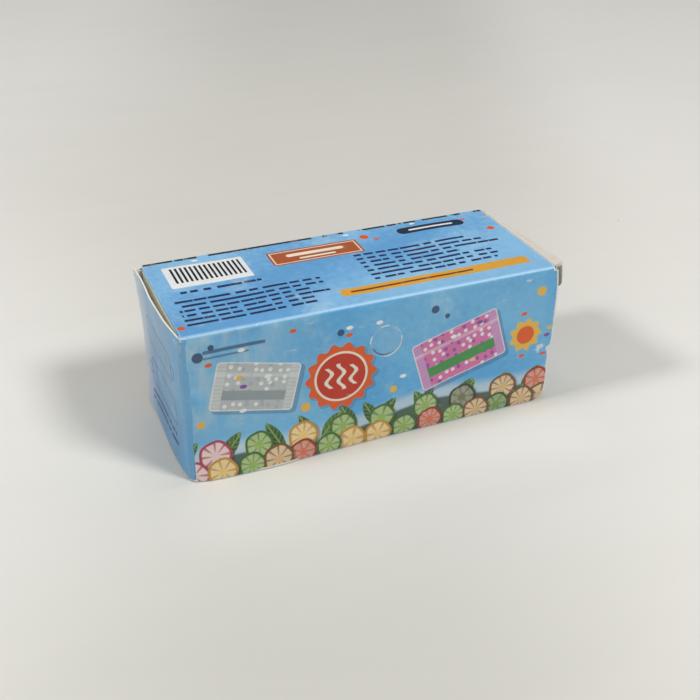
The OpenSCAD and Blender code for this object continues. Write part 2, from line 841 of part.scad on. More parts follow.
module switch_anvil() {
    color([0.8, 0.66, 0.34])
    in_carton() {
        translate([anvil_x, switch_y, nose_h]) linear_extrude(height = brass_t) square([3.6, 3.2], center = true);
        translate([anvil_x, switch_y, rivet_z]) cylinder(r = rivet_r, h = nose_h - rivet_z + brass_t + 0.2);
    }
}

// Plate across both bays at the tail end, with a button for one cell
module bridge_contact() {
    color([0.8, 0.66, 0.34])
    in_carton() {
        block(
            [bay_x1 - brass_t - 0.02, -bay_y - contact_h / 2, bay_z - contact_h / 2],
            [bay_x1 - 0.02, bay_y + contact_h / 2, bay_z + contact_h / 2]
        );
        translate([bay_x1 - brass_t - 0.82, -bay_y, bay_z]) rotate([0, 90, 0]) cylinder(r = 2.4, h = 0.9);
    }
}

// End plate of one bay at the nose end, with its tab through the wall
module end_contact(side) {
    block(
        [bay_x0 + 0.02, -contact_h / 2, bay_z - contact_h / 2],
        [bay_x0 + brass_t + 0.02, contact_h / 2, bay_z + contact_h / 2]
    );
    block(
        [cavity_x1 - 2.2, side * (tab_y - bay_y) - 1.25, bay_z + 2.2],
        [bay_x0 + brass_t + 0.02, side * (tab_y - bay_y) + 1.25, bay_z + 2.2 + brass_t]
    );
}

module positive_contact() {
    color([0.8, 0.66, 0.34])
    in_carton() translate([0, bay_y, 0]) {
        end_contact(1);
        translate([bay_x0 + brass_t, 0, bay_z]) rotate([0, 90, 0]) cylinder(r = 2.4, h = 0.82);
    }
}

module negative_contact() {
    color([0.8, 0.66, 0.34])
    in_carton() translate([0, -bay_y, 0]) end_contact(-1);
}

module cell_springs() {
    rings = 8;
    path = helix(cell_spring_d - cell_spring_wire, cell_spring_wire / 2 + 0.03, cell_spring_l - cell_spring_wire / 2,
        cell_spring_turns, rings);
    echo(str("cell springs least gap to themselves ", self_gap(path, rings, cell_spring_wire)));
    color([0.7, 0.71, 0.73])
    in_carton() {
        translate([bay_x0 + brass_t + 0.02, -bay_y, bay_z]) rotate([0, 90, 0]) tube(path, cell_spring_wire, 6);
        translate([bay_x1 - brass_t - 0.02, bay_y, bay_z]) rotate([0, -90, 0]) tube(path, cell_spring_wire, 6);
    }
}

// Leads in the hollow under the deck, each from its tab or rivet to the next
lead_z = rivet_z + lead_d / 2;
lead_end = rivet_r + lead_d / 2 + 0.05;
tab_x = cavity_x1 - 2.2 - lead_d / 2 - 0.05;
tab_z = bay_z + 2.2 + brass_t / 2;

module red_lead() {
    color([0.75, 0.12, 0.1])
    in_carton()
    tube(
        route(
            [tab_x, tab_y, tab_z],
            [tab_x - 5, tab_y - 0.5, lead_z],
            [head_cx + 6, terminal_y - 3, lead_z],
            [head_cx + lead_end, terminal_y - 0.4, lead_z]
        ),
        lead_d, 8
    );
}

module black_lead() {
    color([0.1, 0.1, 0.11])
    in_carton()
    tube(
        route(
            [tab_x, -tab_y, tab_z],
            [tab_x - 3, -tab_y + 1, lead_z],
            [leaf_x + 3, switch_y + 3, lead_z],
            [leaf_x + lead_end, switch_y + 0.3, lead_z]
        ),
        lead_d, 8
    );
}

module link_lead() {
    color([0.1, 0.1, 0.11])
    in_carton()
    tube(
        route(
            [anvil_x - lead_end, switch_y - 0.4, lead_z],
            [anvil_x - 4, switch_y - 1.2, lead_z],
            [head_cx + 6, -terminal_y + 2, lead_z],
            [head_cx + lead_end, -terminal_y + 0.3, lead_z]
        ),
        lead_d, 8
    );
}

module deck_screws() {
    color([0.62, 0.63, 0.65])
    in_carton()
    for (s = [-1, 1])
        translate([screw_x, s * screw_y, nose_h]) screw(deck_t + 2.5);
}

module liner_screws() {
    color([0.62, 0.63, 0.65])
    in_carton() arm_at_rest()
    for (x = boss_x)
        translate([x, 0, arm_z + 1.2]) mirror([0, 0, 1]) screw(liner_t + 2);
}

carton_sleeve();
left_closure();
left_top_dust_flap();
left_bottom_dust_flap();
right_closure();
right_top_dust_flap();
right_bottom_dust_flap();
clear_sticker();
base_shell();
nose_deck();
cell_cover();
hinge_pin();
press_arm();
arm_liner();
silicone_pad();
return_spring();
ceramic_head();
heating_ribbon();
slip_cover();
heater_terminals();
switch_leaf();
switch_anvil();
bridge_contact();
positive_contact();
negative_contact();
cell_springs();
red_lead();
black_lead();
link_lead();
deck_screws();
liner_screws();
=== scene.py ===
import functools
import math
from types import SimpleNamespace

import bmesh
import bpy
from mathutils import Matrix, Vector, noise


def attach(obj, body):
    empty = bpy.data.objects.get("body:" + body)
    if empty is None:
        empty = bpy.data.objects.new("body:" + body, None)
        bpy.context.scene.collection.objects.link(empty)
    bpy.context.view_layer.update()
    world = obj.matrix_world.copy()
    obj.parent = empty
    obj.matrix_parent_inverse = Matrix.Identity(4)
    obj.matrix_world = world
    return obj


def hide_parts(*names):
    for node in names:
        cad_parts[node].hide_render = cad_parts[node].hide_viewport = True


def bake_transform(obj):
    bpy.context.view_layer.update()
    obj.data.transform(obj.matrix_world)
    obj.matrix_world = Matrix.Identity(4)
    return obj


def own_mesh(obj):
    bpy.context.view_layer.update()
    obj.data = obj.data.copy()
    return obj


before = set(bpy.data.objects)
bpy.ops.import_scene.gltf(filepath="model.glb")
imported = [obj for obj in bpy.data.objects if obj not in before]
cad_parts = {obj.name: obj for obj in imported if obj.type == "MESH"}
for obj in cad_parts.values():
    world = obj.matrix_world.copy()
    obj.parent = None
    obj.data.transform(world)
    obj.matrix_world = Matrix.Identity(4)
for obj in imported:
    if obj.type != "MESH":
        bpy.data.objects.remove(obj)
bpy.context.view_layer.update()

# Boxed heat sealer: sizes in millimetres, the objects themselves in metres.
MM = 0.001
BOARD = 0.5
# Carton: half its width, its height, half the length of its top, and where its front and back panel end
HALF_W, HEIGHT, HALF_L, PANEL_X = 24.25, 48.0, 58.0, 59.18
LAP_Y = 23.72
# Radii of the folds along the carton, and of the upright creases
FOLD, SOFT_FOLD, FLOOR_FOLD, CORNER = 0.9, 1.3, 0.4, 1.6
# Closures: hinge of the left one, the tip and the bend of its tongue, lower edge of both, top edge of each
HINGE = Vector((-58.93, -24.0, 0.0))
TONGUE_X, TONGUE_Y, TONGUE_BEND, TONGUE_ROUND = -49.93, 22.588, 0.6, 2.0
CLOSURE_LOW, LEFT_TOP, RIGHT_TOP = 0.6, 47.8, 39.8
# Dust flaps: their creases, the sides of those at the left end, and their depth
CREASE_X, CREASE_HIGH, CREASE_LOW = 58.33, 47.75, 0.25
FLAP_Y0, FLAP_Y1, FLAP_DEPTH = -22.8, 21.488, 13.0
# How far a crease stands over the board that it joins
SKIN = 0.02
STICKER_X, STICKER_Z, STICKER_R = 1.74, 34.32, 5.2
# Attribute of the sleeve: distance from the front panel's torn edge
TO_TEAR = "to_torn_edge"
# Sealer: its place in the carton, its hinge pin, and how far the arm stands open at rest
SEALER = Vector((9.58, 0.0, 0.6))
PIN = Vector((50.58, 0.0, 25.6))
ARM_REST = math.radians(4.5)


def ink(r, g, b):
    """A colour by its screen values, 0 to 255."""
    def plain(c):
        c = c / 255.0
        return c / 12.92 if c <= 0.04045 else ((c + 0.055) / 1.055) ** 2.4
    return (plain(r), plain(g), plain(b), 1.0)


def ease(t):
    """Smooth step from 0 to 1."""
    t = min(max(t, 0.0), 1.0)
    return t * t * (3.0 - 2.0 * t)


def between(points, x):
    """Straight-line reading of a table of (place, value)."""
    if x <= points[0][0]:
        return points[0][1]
    for (x0, y0), (x1, y1) in zip(points, points[1:]):
        if x <= x1:
            return y0 + (y1 - y0) * (x - x0) / (x1 - x0)
    return points[-1][1]


def metres(points):
    return [tuple(c * MM for c in p) for p in points]


def linked(name, data):
    """A new object in the scene."""
    thing = bpy.data.objects.new(name, data)
    bpy.context.collection.objects.link(thing)
    return thing


# Camera and light

AZIMUTH, ELEVATION, ROLL = (math.radians(a) for a in (-22.801, 30.554, 0.392))
EYE = Vector((-109.37, -261.50, 185.58)) * MM
# Lamps: name, place, aim, size, watts and tint
LAMPS = [
    ("front_right_lamp", (0.92, -1.21, 1.68), (0.0, 0.0, 0.02), 0.58, 26.5, (1.0, 0.985, 0.96)),
    ("left_lamp", (-1.65, 0.07, 1.52), (0.0, 0.0, 0.02), 0.38, 19.5, (1.0, 0.985, 0.96)),
    ("ceiling_lamp", (0.10, 0.30, 3.00), (0.0, 0.0, 0.0), 2.2, 24.0, (1.0, 0.99, 0.97)),
]


def make_camera():
    data = bpy.data.cameras.new("photo_camera")
    data.lens, data.sensor_width = 53.23, 36.0
    data.clip_start, data.clip_end = 0.01, 20.0
    camera = linked("photo_camera", data)
    turn, tilt = Matrix.Rotation(AZIMUTH, 4, "Z"), Matrix.Rotation(math.pi / 2 - ELEVATION, 4, "X")
    camera.matrix_world = Matrix.Translation(EYE) @ turn @ tilt @ Matrix.Rotation(ROLL, 4, "Z")
    bpy.context.scene.camera = camera


def make_light():
    for name, place, aim, size, watts, tint in LAMPS:
        data = bpy.data.lights.new(name, "AREA")
        data.shape = "DISK"
        data.size, data.energy, data.color = size, watts, tint
        lamp = linked(name, data)
        lamp.location = place
        lamp.rotation_mode = "QUATERNION"
        lamp.rotation_quaternion = (Vector(aim) - Vector(place)).to_track_quat("-Z", "Y")
    world = bpy.data.worlds.new("room")
    world.use_nodes = True
    sky = world.node_tree.nodes["Background"]
    sky.inputs["Color"].default_value = (0.98, 0.99, 1.0, 1.0)
    sky.inputs["Strength"].default_value = 0.08
    bpy.context.scene.world = world


# Shader trees

def operator(operation):
    """The two methods of an operator, for a value on its left and for one on its right."""
    return (lambda a, b: a.sketch.math(operation, a, b)), (lambda a, b: a.sketch.math(operation, b, a))


class Value:
    """An output in a shader tree, with the usual arithmetic where it is a number."""

    __add__, __radd__ = operator("ADD")
    __sub__, __rsub__ = operator("SUBTRACT")
    __mul__, __rmul__ = operator("MULTIPLY")
    __truediv__, __rtruediv__ = operator("DIVIDE")

    def __init__(self, sketch, socket):
        self.sketch, self.socket = sketch, socket

    def __abs__(self):
        return self.sketch.math("ABSOLUTE", self)


class Sketch:
    """Short hand for writing a shader tree."""

    def __init__(self, tree):
        self.tree = tree

    def feed(self, socket, value):
        if isinstance(value, Value):
            self.tree.links.new(value.socket, socket)
        elif value is not None:
            socket.default_value = value

    def node(self, kind, inputs, **settings):
        node = self.tree.nodes.new("ShaderNode" + kind)
        for key, value in settings.items():
            setattr(node, key, value)
        for key, value in inputs.items():
            self.feed(node.inputs[key], value)
        return node

    def new(self, kind, inputs, **settings):
        """The outputs of a new node, in their order."""
        return [Value(self, socket) for socket in self.node(kind, inputs, **settings).outputs]

    def math(self, operation, *values):
        return self.new("Math", dict(enumerate(values)), operation=operation)[0]

    def sine(self, value):
        return self.math("SINE", value)

    def cosine(self, value):
        return self.math("COSINE", value)

    def floor(self, value):
        return self.math("FLOOR", value)

    def most(self, *values):
        return functools.reduce(lambda a, b: self.math("MAXIMUM", a, b), values)

    def step(self, value, low, high):
        """0 below low, 1 above high; the other way round where low is the larger number."""
        first, last = 0.0, 1.0
        if not isinstance(low, Value) and low > high:
            low, high, first, last = high, low, last, first
        inputs = {"Value": value, "From Min": low, "From Max": high, "To Min": first, "To Max": last}
        return self.new("MapRange", inputs, interpolation_type="SMOOTHSTEP")[0]

    def mix(self, share, a, b):
        return self.new("Mix", {0: share, 6: a, 7: b}, data_type="RGBA")[2]

    def pick(self, value, colours):
        """One of a row of colours, by a value from 0 to 1."""
        node = self.node("ValToRGB", {0: value})
        ramp = node.color_ramp
        ramp.interpolation = "CONSTANT"
        while len(ramp.elements) < len(colours):
            ramp.elements.new(1.0)
        for k, colour in enumerate(colours):
            ramp.elements[k].position = k / len(colours)
            ramp.elements[k].color = colour
        return Value(self, node.outputs[0])

    def chance(self, dimensions, **seed):
        """A number from 0 to 1 that goes with a seed, and a colour."""
        return self.new("TexWhiteNoise", seed, noise_dimensions=dimensions)

    def cells(self, place, scale, randomness):
        """Distance to the middle of the cell that a place is in, and three numbers of that cell."""
        inputs = {"Vector": place, "Scale": scale, "Randomness": randomness}
        made = self.new("TexVoronoi", inputs, voronoi_dimensions="2D", feature="F1")
        return made[0], self.split(made[1])

    def split(self, vector):
        return self.new("SeparateXYZ", {0: vector})

    def join(self, x, y, z=0.0):
        return self.new("CombineXYZ", {0: x, 1: y, 2: z})[0]

    def stretch(self, vector, amounts):
        return self.new("VectorMath", {0: vector, 1: amounts}, operation="MULTIPLY")[0]

    def cloud(self, place, scale, detail=2.0, rough=0.5):
        return self.new("TexNoise", {"Vector": place, "Scale": scale, "Detail": detail, "Roughness": rough})[0]

    def toned(self, colour, value):
        return self.new("HueSaturation", {"Value": value, "Color": colour})[0]

    def group(self, tree, given=None, **inputs):
        """A node group's outputs by name. Inputs that aren't named come from what is given, where it has them."""
        node = self.node("Group", {}, node_tree=tree)
        for socket in node.inputs:
            self.feed(socket, inputs.get(socket.name, getattr(given, socket.name, None)))
        return SimpleNamespace(**{socket.name: Value(self, socket) for socket in node.outputs})

    def place(self):
        """Place on the piece, in millimetres."""
        spot = Value(self, self.node("TexCoord", {}).outputs["Object"])
        return self.stretch(spot, (1.0 / MM, 1.0 / MM, 1.0 / MM))


def shader_group(name, outputs, **inputs):
    """Makes the function below it a shader node group. An input is a number, a colour or, where it is None, a vector.
    The function gets a sketch and the inputs, and gives the outputs by name."""
    def build(write):
        tree = bpy.data.node_groups.new(name, "ShaderNodeTree")
        for label, value in inputs.items():
            kind = "Vector" if value is None else "Float" if isinstance(value, float) else "Color"
            socket = tree.interface.new_socket(label, in_out="INPUT", socket_type="NodeSocket" + kind)
            if value is not None:
                socket.default_value = value
        for label in outputs.split():
            kind = "Color" if label == "colour" else "Float"
            tree.interface.new_socket(label, in_out="OUTPUT", socket_type="NodeSocket" + kind)
        sketch = Sketch(tree)
        entry, leave = tree.nodes.new("NodeGroupInput"), tree.nodes.new("NodeGroupOutput")
        given = SimpleNamespace(**{socket.name: Value(sketch, socket) for socket in entry.outputs if socket.name})
        for label, value in write(sketch, given).items():
            sketch.feed(leave.inputs[label], value)
        return tree
    return build


# Ink: marks on a page with the coordinates u and v, in millimetres

INK_EDGE = 0.12
SPOT = dict(u=0.0, v=0.0, centre_u=0.0, centre_v=0.0)
ROW = dict(u=0.0, v=0.0, pitch=16.0, shift=0.0, height=2.4, seed=0.0)


@shader_group("Ink disc", "mask distance angle", **SPOT, radius=5.0, lobes=0.0, depth=0.0)
def ink_disc(s, g):
    du = g.u - g.centre_u
    dv = g.v - g.centre_v
    angle = s.math("ARCTAN2", dv, du)
    wave = g.depth * s.cosine(g.lobes * angle)
    away = s.math("SQRT", du * du + dv * dv) - g.radius * (1.0 + wave)
    return dict(mask=s.step(away, INK_EDGE, -INK_EDGE), distance=away, angle=angle)


@shader_group(
    "Ink patch", "mask distance along across", **SPOT, half_width=5.0, half_height=5.0, turn=0.0, round=0.5,
)
def ink_patch(s, g):
    du = g.u - g.centre_u
    dv = g.v - g.centre_v
    c, n = s.cosine(g.turn), s.sine(g.turn)
    along = du * c + dv * n
    across = dv * c - du * n
    qa = abs(along) - g.half_width + g.round
    qc = abs(across) - g.half_height + g.round
    pa, pc = s.most(qa, 0.0), s.most(qc, 0.0)
    away = s.math("SQRT", pa * pa + pc * pc) + s.math("MINIMUM", s.most(qa, qc), 0.0) - g.round
    return dict(mask=s.step(away, INK_EDGE, -INK_EDGE), distance=away, along=along, across=across)


@shader_group(
    "Ruled block", "mask", **SPOT, half_width=20.0, half_height=5.0, turn=0.0, pitch=2.4, weight=0.42, seed=1.0,
)
def ruled_block(s, g):
    """Lines of dashes with ragged ends."""
    patch = s.group(ink_patch, g, round=0.1)
    line = (patch.across + g.half_height) / g.pitch
    row = s.floor(line)
    stroke = s.step(abs(s.math("FRACT", line) - 0.5), g.weight, 0.0)
    run = patch.along / (g.pitch * 1.5)
    width = 0.52 + s.chance("3D", Vector=s.join(s.floor(run), row, g.seed))[0] * 0.6
    dash = s.step(s.math("FRACT", run) - width, 0.06, -0.06)
    ragged = g.half_width * (0.35 + s.chance("2D", Vector=s.join(row, g.seed))[0] * 0.9)
    short = s.step(patch.along - ragged, 0.1, -0.1)
    return dict(mask=patch.mask * s.step(stroke, 0.35, 0.65) * (dash * short))


@shader_group(
    "Slice", "colour mask shade", **SPOT, radius=4.0, rind=ink(90, 130, 60), flesh=ink(220, 220, 170), spokes=6.0,
)
def round_slice(s, g):
    disc = s.group(ink_disc, g, lobes=5.0, depth=0.03)
    depth = disc.distance * -1.0 / g.radius
    spoke = s.cosine(g.spokes * disc.angle)
    grain = s.cloud(s.join(g.u, g.v, g.radius), 0.9, 3.0)
    flesh = s.mix(s.step(spoke + grain * 0.9, 0.9, 1.35), g.flesh, g.rind)
    flesh = s.mix(grain * 0.35, flesh, (1.0, 0.96, 0.86, 1.0))
    pith = s.mix(s.step(depth, 0.62, 0.8), flesh, g.flesh)
    colour = s.mix(s.step(depth, 0.22, 0.12), pith, g.rind)
    cast = s.group(ink_disc, g, centre_u=g.centre_u + 0.6, centre_v=g.centre_v - 0.5)
    return dict(colour=colour, mask=disc.mask, shade=s.step(cast.distance, 0.5, -0.3) * 0.45)


RINDS = [
    ink(70, 112, 52), ink(58, 50, 42), ink(150, 58, 42), ink(54, 96, 52), ink(62, 66, 52), ink(196, 148, 62),
    ink(178, 70, 96), ink(122, 84, 50),
]
FLESHES = [
    ink(150, 186, 96), ink(126, 104, 78), ink(220, 122, 92), ink(120, 160, 84), ink(120, 128, 96), ink(240, 208, 132),
    ink(236, 206, 208), ink(222, 188, 134),
]


def row_place(s, g, stray):
    """Middle of the place in a row that a point belongs to, and three numbers of its own."""
    cell = s.floor((g.u + g.shift) / g.pitch)
    own = s.split(s.chance("1D", W=cell + g.seed)[1])
    return (cell + 0.5) * g.pitch - g.shift + (own[0] - 0.5) * stray, own


@shader_group("Row of slices", "colour mask shade", **ROW, radius=4.6)
def slice_row(s, g):
    middle, own = row_place(s, g, 2.0)
    return vars(s.group(
        round_slice, g, centre_u=middle, centre_v=g.height + own[1] * 0.9, radius=g.radius * (0.86 + own[2] * 0.14),
        rind=s.pick(own[2], RINDS), flesh=s.pick(own[2], FLESHES), spokes=s.floor(5.0 + own[0] * 6.0),
    ))


@shader_group("Leaf", "colour mask", **SPOT, half_length=6.0, half_width=2.4, turn=0.0, leaf=ink(70, 120, 60))
def leaf_shape(s, g):
    patch = s.group(ink_patch, g, half_width=g.half_length, half_height=g.half_length, round=0.1)
    t = patch.along / g.half_length
    side = abs(patch.across)
    mask = s.step(side - g.half_width * (1.0 - t * t), 0.1, -0.15)
    vein = s.sine((patch.along - side * 0.9) * 3.6)
    pale = s.most(s.step(side, 0.28, 0.1), s.step(vein, 0.6, 0.9) * 0.5)
    grain = s.cloud(s.join(g.u, g.v, 3.0), 0.7, 3.0)
    dark = s.mix(grain * 0.7, g.leaf, (0.02, 0.05, 0.02, 1.0))
    return dict(colour=s.mix(pale * 0.6, dark, ink(176, 204, 128)), mask=mask * patch.mask)


@shader_group("Row of leaves", "colour mask", **ROW)
def leaf_row(s, g):
    middle, own = row_place(s, g, 3.0)
    return vars(s.group(
        leaf_shape, g, centre_u=middle, centre_v=g.height + own[1] * 1.6, half_length=5.0 + own[2],
        half_width=1.8 + own[1] * 0.6, turn=0.85 + s.step(own[2], 0.49, 0.51) * 1.2,
        leaf=s.mix(own[0], ink(62, 108, 56), ink(98, 148, 72)),
    ))


@shader_group("Confetti", "mask pick", u=0.0, v=0.0, density=0.22, size=0.16)
def confetti_ticks(s, g):
    distance, own = s.cells(s.join(g.u * 0.6, g.v), g.density, 1.0)
    return dict(mask=s.step(distance, g.size, g.size * 0.72) * s.step(own[0], 0.72, 0.74), pick=own[1])


@shader_group("Sky wash", "colour", u=0.0, v=0.0, seed=0.0, deep=ink(104, 165, 208), pale=ink(150, 197, 228))
def sky_wash(s, g):
    spot = s.join(g.u, g.v, g.seed)
    daub = s.cloud(spot, 0.45, 3.0, 0.65) - 0.5
    wash = s.mix(s.step(s.cloud(spot, 0.022, 2.0) + daub * 0.28, 0.36, 0.62), g.deep, g.pale)
    haze = s.step(s.cloud(spot, 0.075, 4.0, 0.55) + daub * 0.2, 0.54, 0.78) * 0.45
    return dict(colour=s.mix(haze, wash, ink(186, 218, 236)))


# Finishes

@shader_group(
    "Card stock", "colour roughness height", place=None, print=ink(140, 190, 225), fold=0.0, cut=0.0, rub=0.3,
)
def card_stock(s, g):
    """Printed board: mottled and rubbed ink, a pale blue along its folds that is partly painted highlight and partly
    worn ink, and white fibre where it is worn or cut.
    """
    blotch = s.cloud(g.place, 0.05, 3.0)
    mottle = s.cloud(g.place, 0.4, 3.0, 0.6)
    grain = s.cloud(g.place, 2.6, 3.0, 0.6)
    shade = 0.84 + (blotch * 0.16 + mottle * 0.14) + (grain - 0.5) * 0.16
    scuff = s.cloud(s.stretch(g.place, (0.16, 0.16, 0.55)), 1.0, 5.0, 0.65)
    rubbed = s.step(scuff, 0.60, 0.78) * g.rub
    colour = s.mix(rubbed, s.toned(g.print, shade), ink(226, 230, 230))
    # Painted highlight along the folds, partly also worn ink: pale blue mixed in where fold is high
    soft = s.step(g.fold, 0.10, 0.80) * (0.42 + mottle * 0.5)
    colour = s.mix(soft, colour, ink(194, 227, 250))
    worn = s.step(g.fold + (mottle - 0.5) * 1.3 + (grain - 0.5) * 0.5, 0.78, 1.05)
    chip = s.step(g.fold, 0.2, 0.6) * s.step(s.cloud(g.place, 0.85, 4.0, 0.6), 0.64, 0.70)
    white = s.most(worn, chip * 0.9, g.cut)
    fibre = s.mix(grain * 0.5, ink(240, 239, 234), ink(212, 209, 200))
    gloss = 0.36 + (blotch * 0.10 + mottle * 0.08) + (white * 0.35 + rubbed * 0.2)
    height = blotch * 0.8 + (grain * 0.07 + mottle * 0.10) - white * 0.25
    return dict(colour=s.mix(white, colour, fibre), roughness=gloss, height=height)


@shader_group("Moulded grain", "colour roughness height", place=None, base=ink(205, 208, 208), sheen=0.42)
def moulded_grain(s, g):
    spark = s.cloud(g.place, 3.2, 3.0, 0.6)
    flow = s.cloud(s.stretch(g.place, (0.05, 0.16, 0.16)), 1.0, 3.0)
    dust = s.cloud(g.place, 0.12, 4.0, 0.6)
    shade = 0.93 + (flow * 0.06 + (spark - 0.5) * 0.10)
    colour = s.mix(s.step(dust, 0.58, 0.8) * 0.18, s.toned(g.base, shade), ink(178, 174, 166))
    return dict(colour=colour, roughness=g.sheen + (spark * 0.12 + dust * 0.10), height=spark + flow * 0.3)


@shader_group(
    "Drawn metal", "colour roughness height", place=None, base=ink(190, 192, 196), tarnish=ink(140, 138, 134),
    sheen=0.24,
)
def drawn_metal(s, g):
    lines = s.cloud(s.stretch(g.place, (0.6, 9.0, 9.0)), 1.0, 3.0, 0.6)
    patina = s.cloud(g.place, 0.35, 4.0, 0.6)
    colour = s.toned(s.mix(s.step(patina, 0.5, 0.78), g.base, g.tarnish), 0.92 + lines * 0.16)
    return dict(colour=colour, roughness=g.sheen + (lines * 0.12 + patina * 0.14), height=lines)


def new_material(name, write, depth, reach=0.001, specular=0.5, metallic=0.0):
    """A material. write gets a sketch and the place on the piece, and gives colour, roughness, height and perhaps
    alpha. depth and reach are those of its bump."""
    made = bpy.data.materials.new(name)
    made.use_nodes = True
    s, shader = Sketch(made.node_tree), made.node_tree.nodes["Principled BSDF"]
    look = write(s, s.place())
    bump = s.new("Bump", {"Strength": depth, "Distance": reach, "Height": look.height})[0]
    for label, value in {
        "Base Color": look.colour, "Roughness": look.roughness, "Normal": bump, "Metallic": metallic,
        "Specular IOR Level": specular, "Alpha": getattr(look, "alpha", None),
    }.items():
        s.feed(shader.inputs[label], value)
    return made


# Printed pages

class Page:
    """One printed panel: its ink is laid on layer by layer over the sky wash."""

    def __init__(self, s, u, v, seed, blues):
        self.s, self.u, self.v = s, u, v
        self.paint = s.group(sky_wash, self, seed=seed, deep=blues[0], pale=blues[1]).colour

    def lay(self, mask, colour, share=1.0):
        self.paint = self.s.mix(mask if share == 1.0 else mask * share, self.paint, colour)

    def disc(self, u, v, r, colour, lobes=0.0, depth=0.0, share=1.0):
        made = self.s.group(ink_disc, self, centre_u=u, centre_v=v, radius=r, lobes=lobes, depth=depth)
        self.lay(made.mask, colour, share)
        return made

    def patch(self, u, v, w, h, colour=None, rounding=0.5, turn=0.0, share=1.0):
        made = self.s.group(
            ink_patch, self, centre_u=u, centre_v=v, half_width=w, half_height=h, turn=math.radians(turn),
            round=rounding,
        )
        if colour:
            self.lay(made.mask, colour, share)
        return made

    def rules(self, u, v, w, h, pitch, weight, colour, seed):
        made = self.s.group(
            ruled_block, self, centre_u=u, centre_v=v, half_width=w, half_height=h, pitch=pitch, weight=weight,
            seed=seed,
        )
        self.lay(made.mask, colour)

    def slices(self, pitch, shift, height, radius, seed):
        made = self.s.group(slice_row, self, pitch=pitch, shift=shift, height=height, radius=radius, seed=seed)
        self.lay(made.shade, ink(40, 44, 40))
        self.lay(made.mask, made.colour)

    def leaves(self, pitch, shift, height, seed):
        made = self.s.group(leaf_row, self, pitch=pitch, shift=shift, height=height, seed=seed)
        self.lay(made.mask, made.colour)

    def confetti(self, density, size, colours, keep):
        made = self.s.group(confetti_ticks, self, density=density, size=size)
        tint = colours[0]
        for k, colour in enumerate(colours[1:], 1):
            share = k / len(colours)
            tint = self.s.mix(self.s.step(made.pick, share, share + 0.01), tint, colour)
        self.lay(made.mask * keep, tint)

    def ring(self, made, at, width, colour, share=1.0):
        """Line along a shape's edge, at a distance inside it."""
        off = abs(made.distance + at)
        self.lay(self.s.step(off, width + INK_EDGE, width - INK_EDGE), colour, share)


CREAM = ink(240, 232, 214)
WHITE = ink(238, 241, 242)
NAVY = ink(34, 48, 92)
ORANGE = ink(226, 96, 44)
RED = ink(200, 58, 38)
YELLOW = ink(232, 186, 78)
AMBER = ink(226, 168, 62)
PINK = ink(214, 118, 172)
PURPLE = ink(128, 84, 168)
GREEN = ink(72, 150, 82)
GREY = ink(186, 194, 196)
BADGE_U, BADGE_V = -12.4, 25.4
SUN_U, SUN_V = 49.6, 26.0


def pouch(page, u, v, w, h, turn, body, band, dots, strap):
    """A sealed pouch: body with a scatter of dots, a band, a crimped seal at each end and a shadow."""
    s = page.s
    page.patch(u + 0.9, v - 1.0, w + 0.4, h + 0.4, ink(52, 78, 104), 1.6, turn, 0.4)
    made = page.patch(u, v, w, h, body, 1.2, turn)
    distance, own = s.cells(s.join(made.along, made.across), 0.42, 0.75)
    spots = made.mask * s.step(distance, 0.30, 0.24)
    page.lay(spots, s.mix(s.step(own[0], 0.5, 0.52), dots, WHITE), 0.85)
    page.lay(made.mask * s.step(abs(made.across + h * 0.35), h * 0.22, h * 0.18), band)
    seal = made.mask * s.step(abs(made.along) - (w - 3.0), -0.1, 0.1)
    page.lay(seal, strap)
    page.lay(seal * s.step(s.sine(made.across * 5.2), -0.2, 0.2), body, 0.5)
    page.lay(made.mask * s.step(abs(made.across - h * 0.5), 0.9, 0.2), WHITE, 0.35)
    page.ring(made, 0.15, 0.18, WHITE, 0.7)


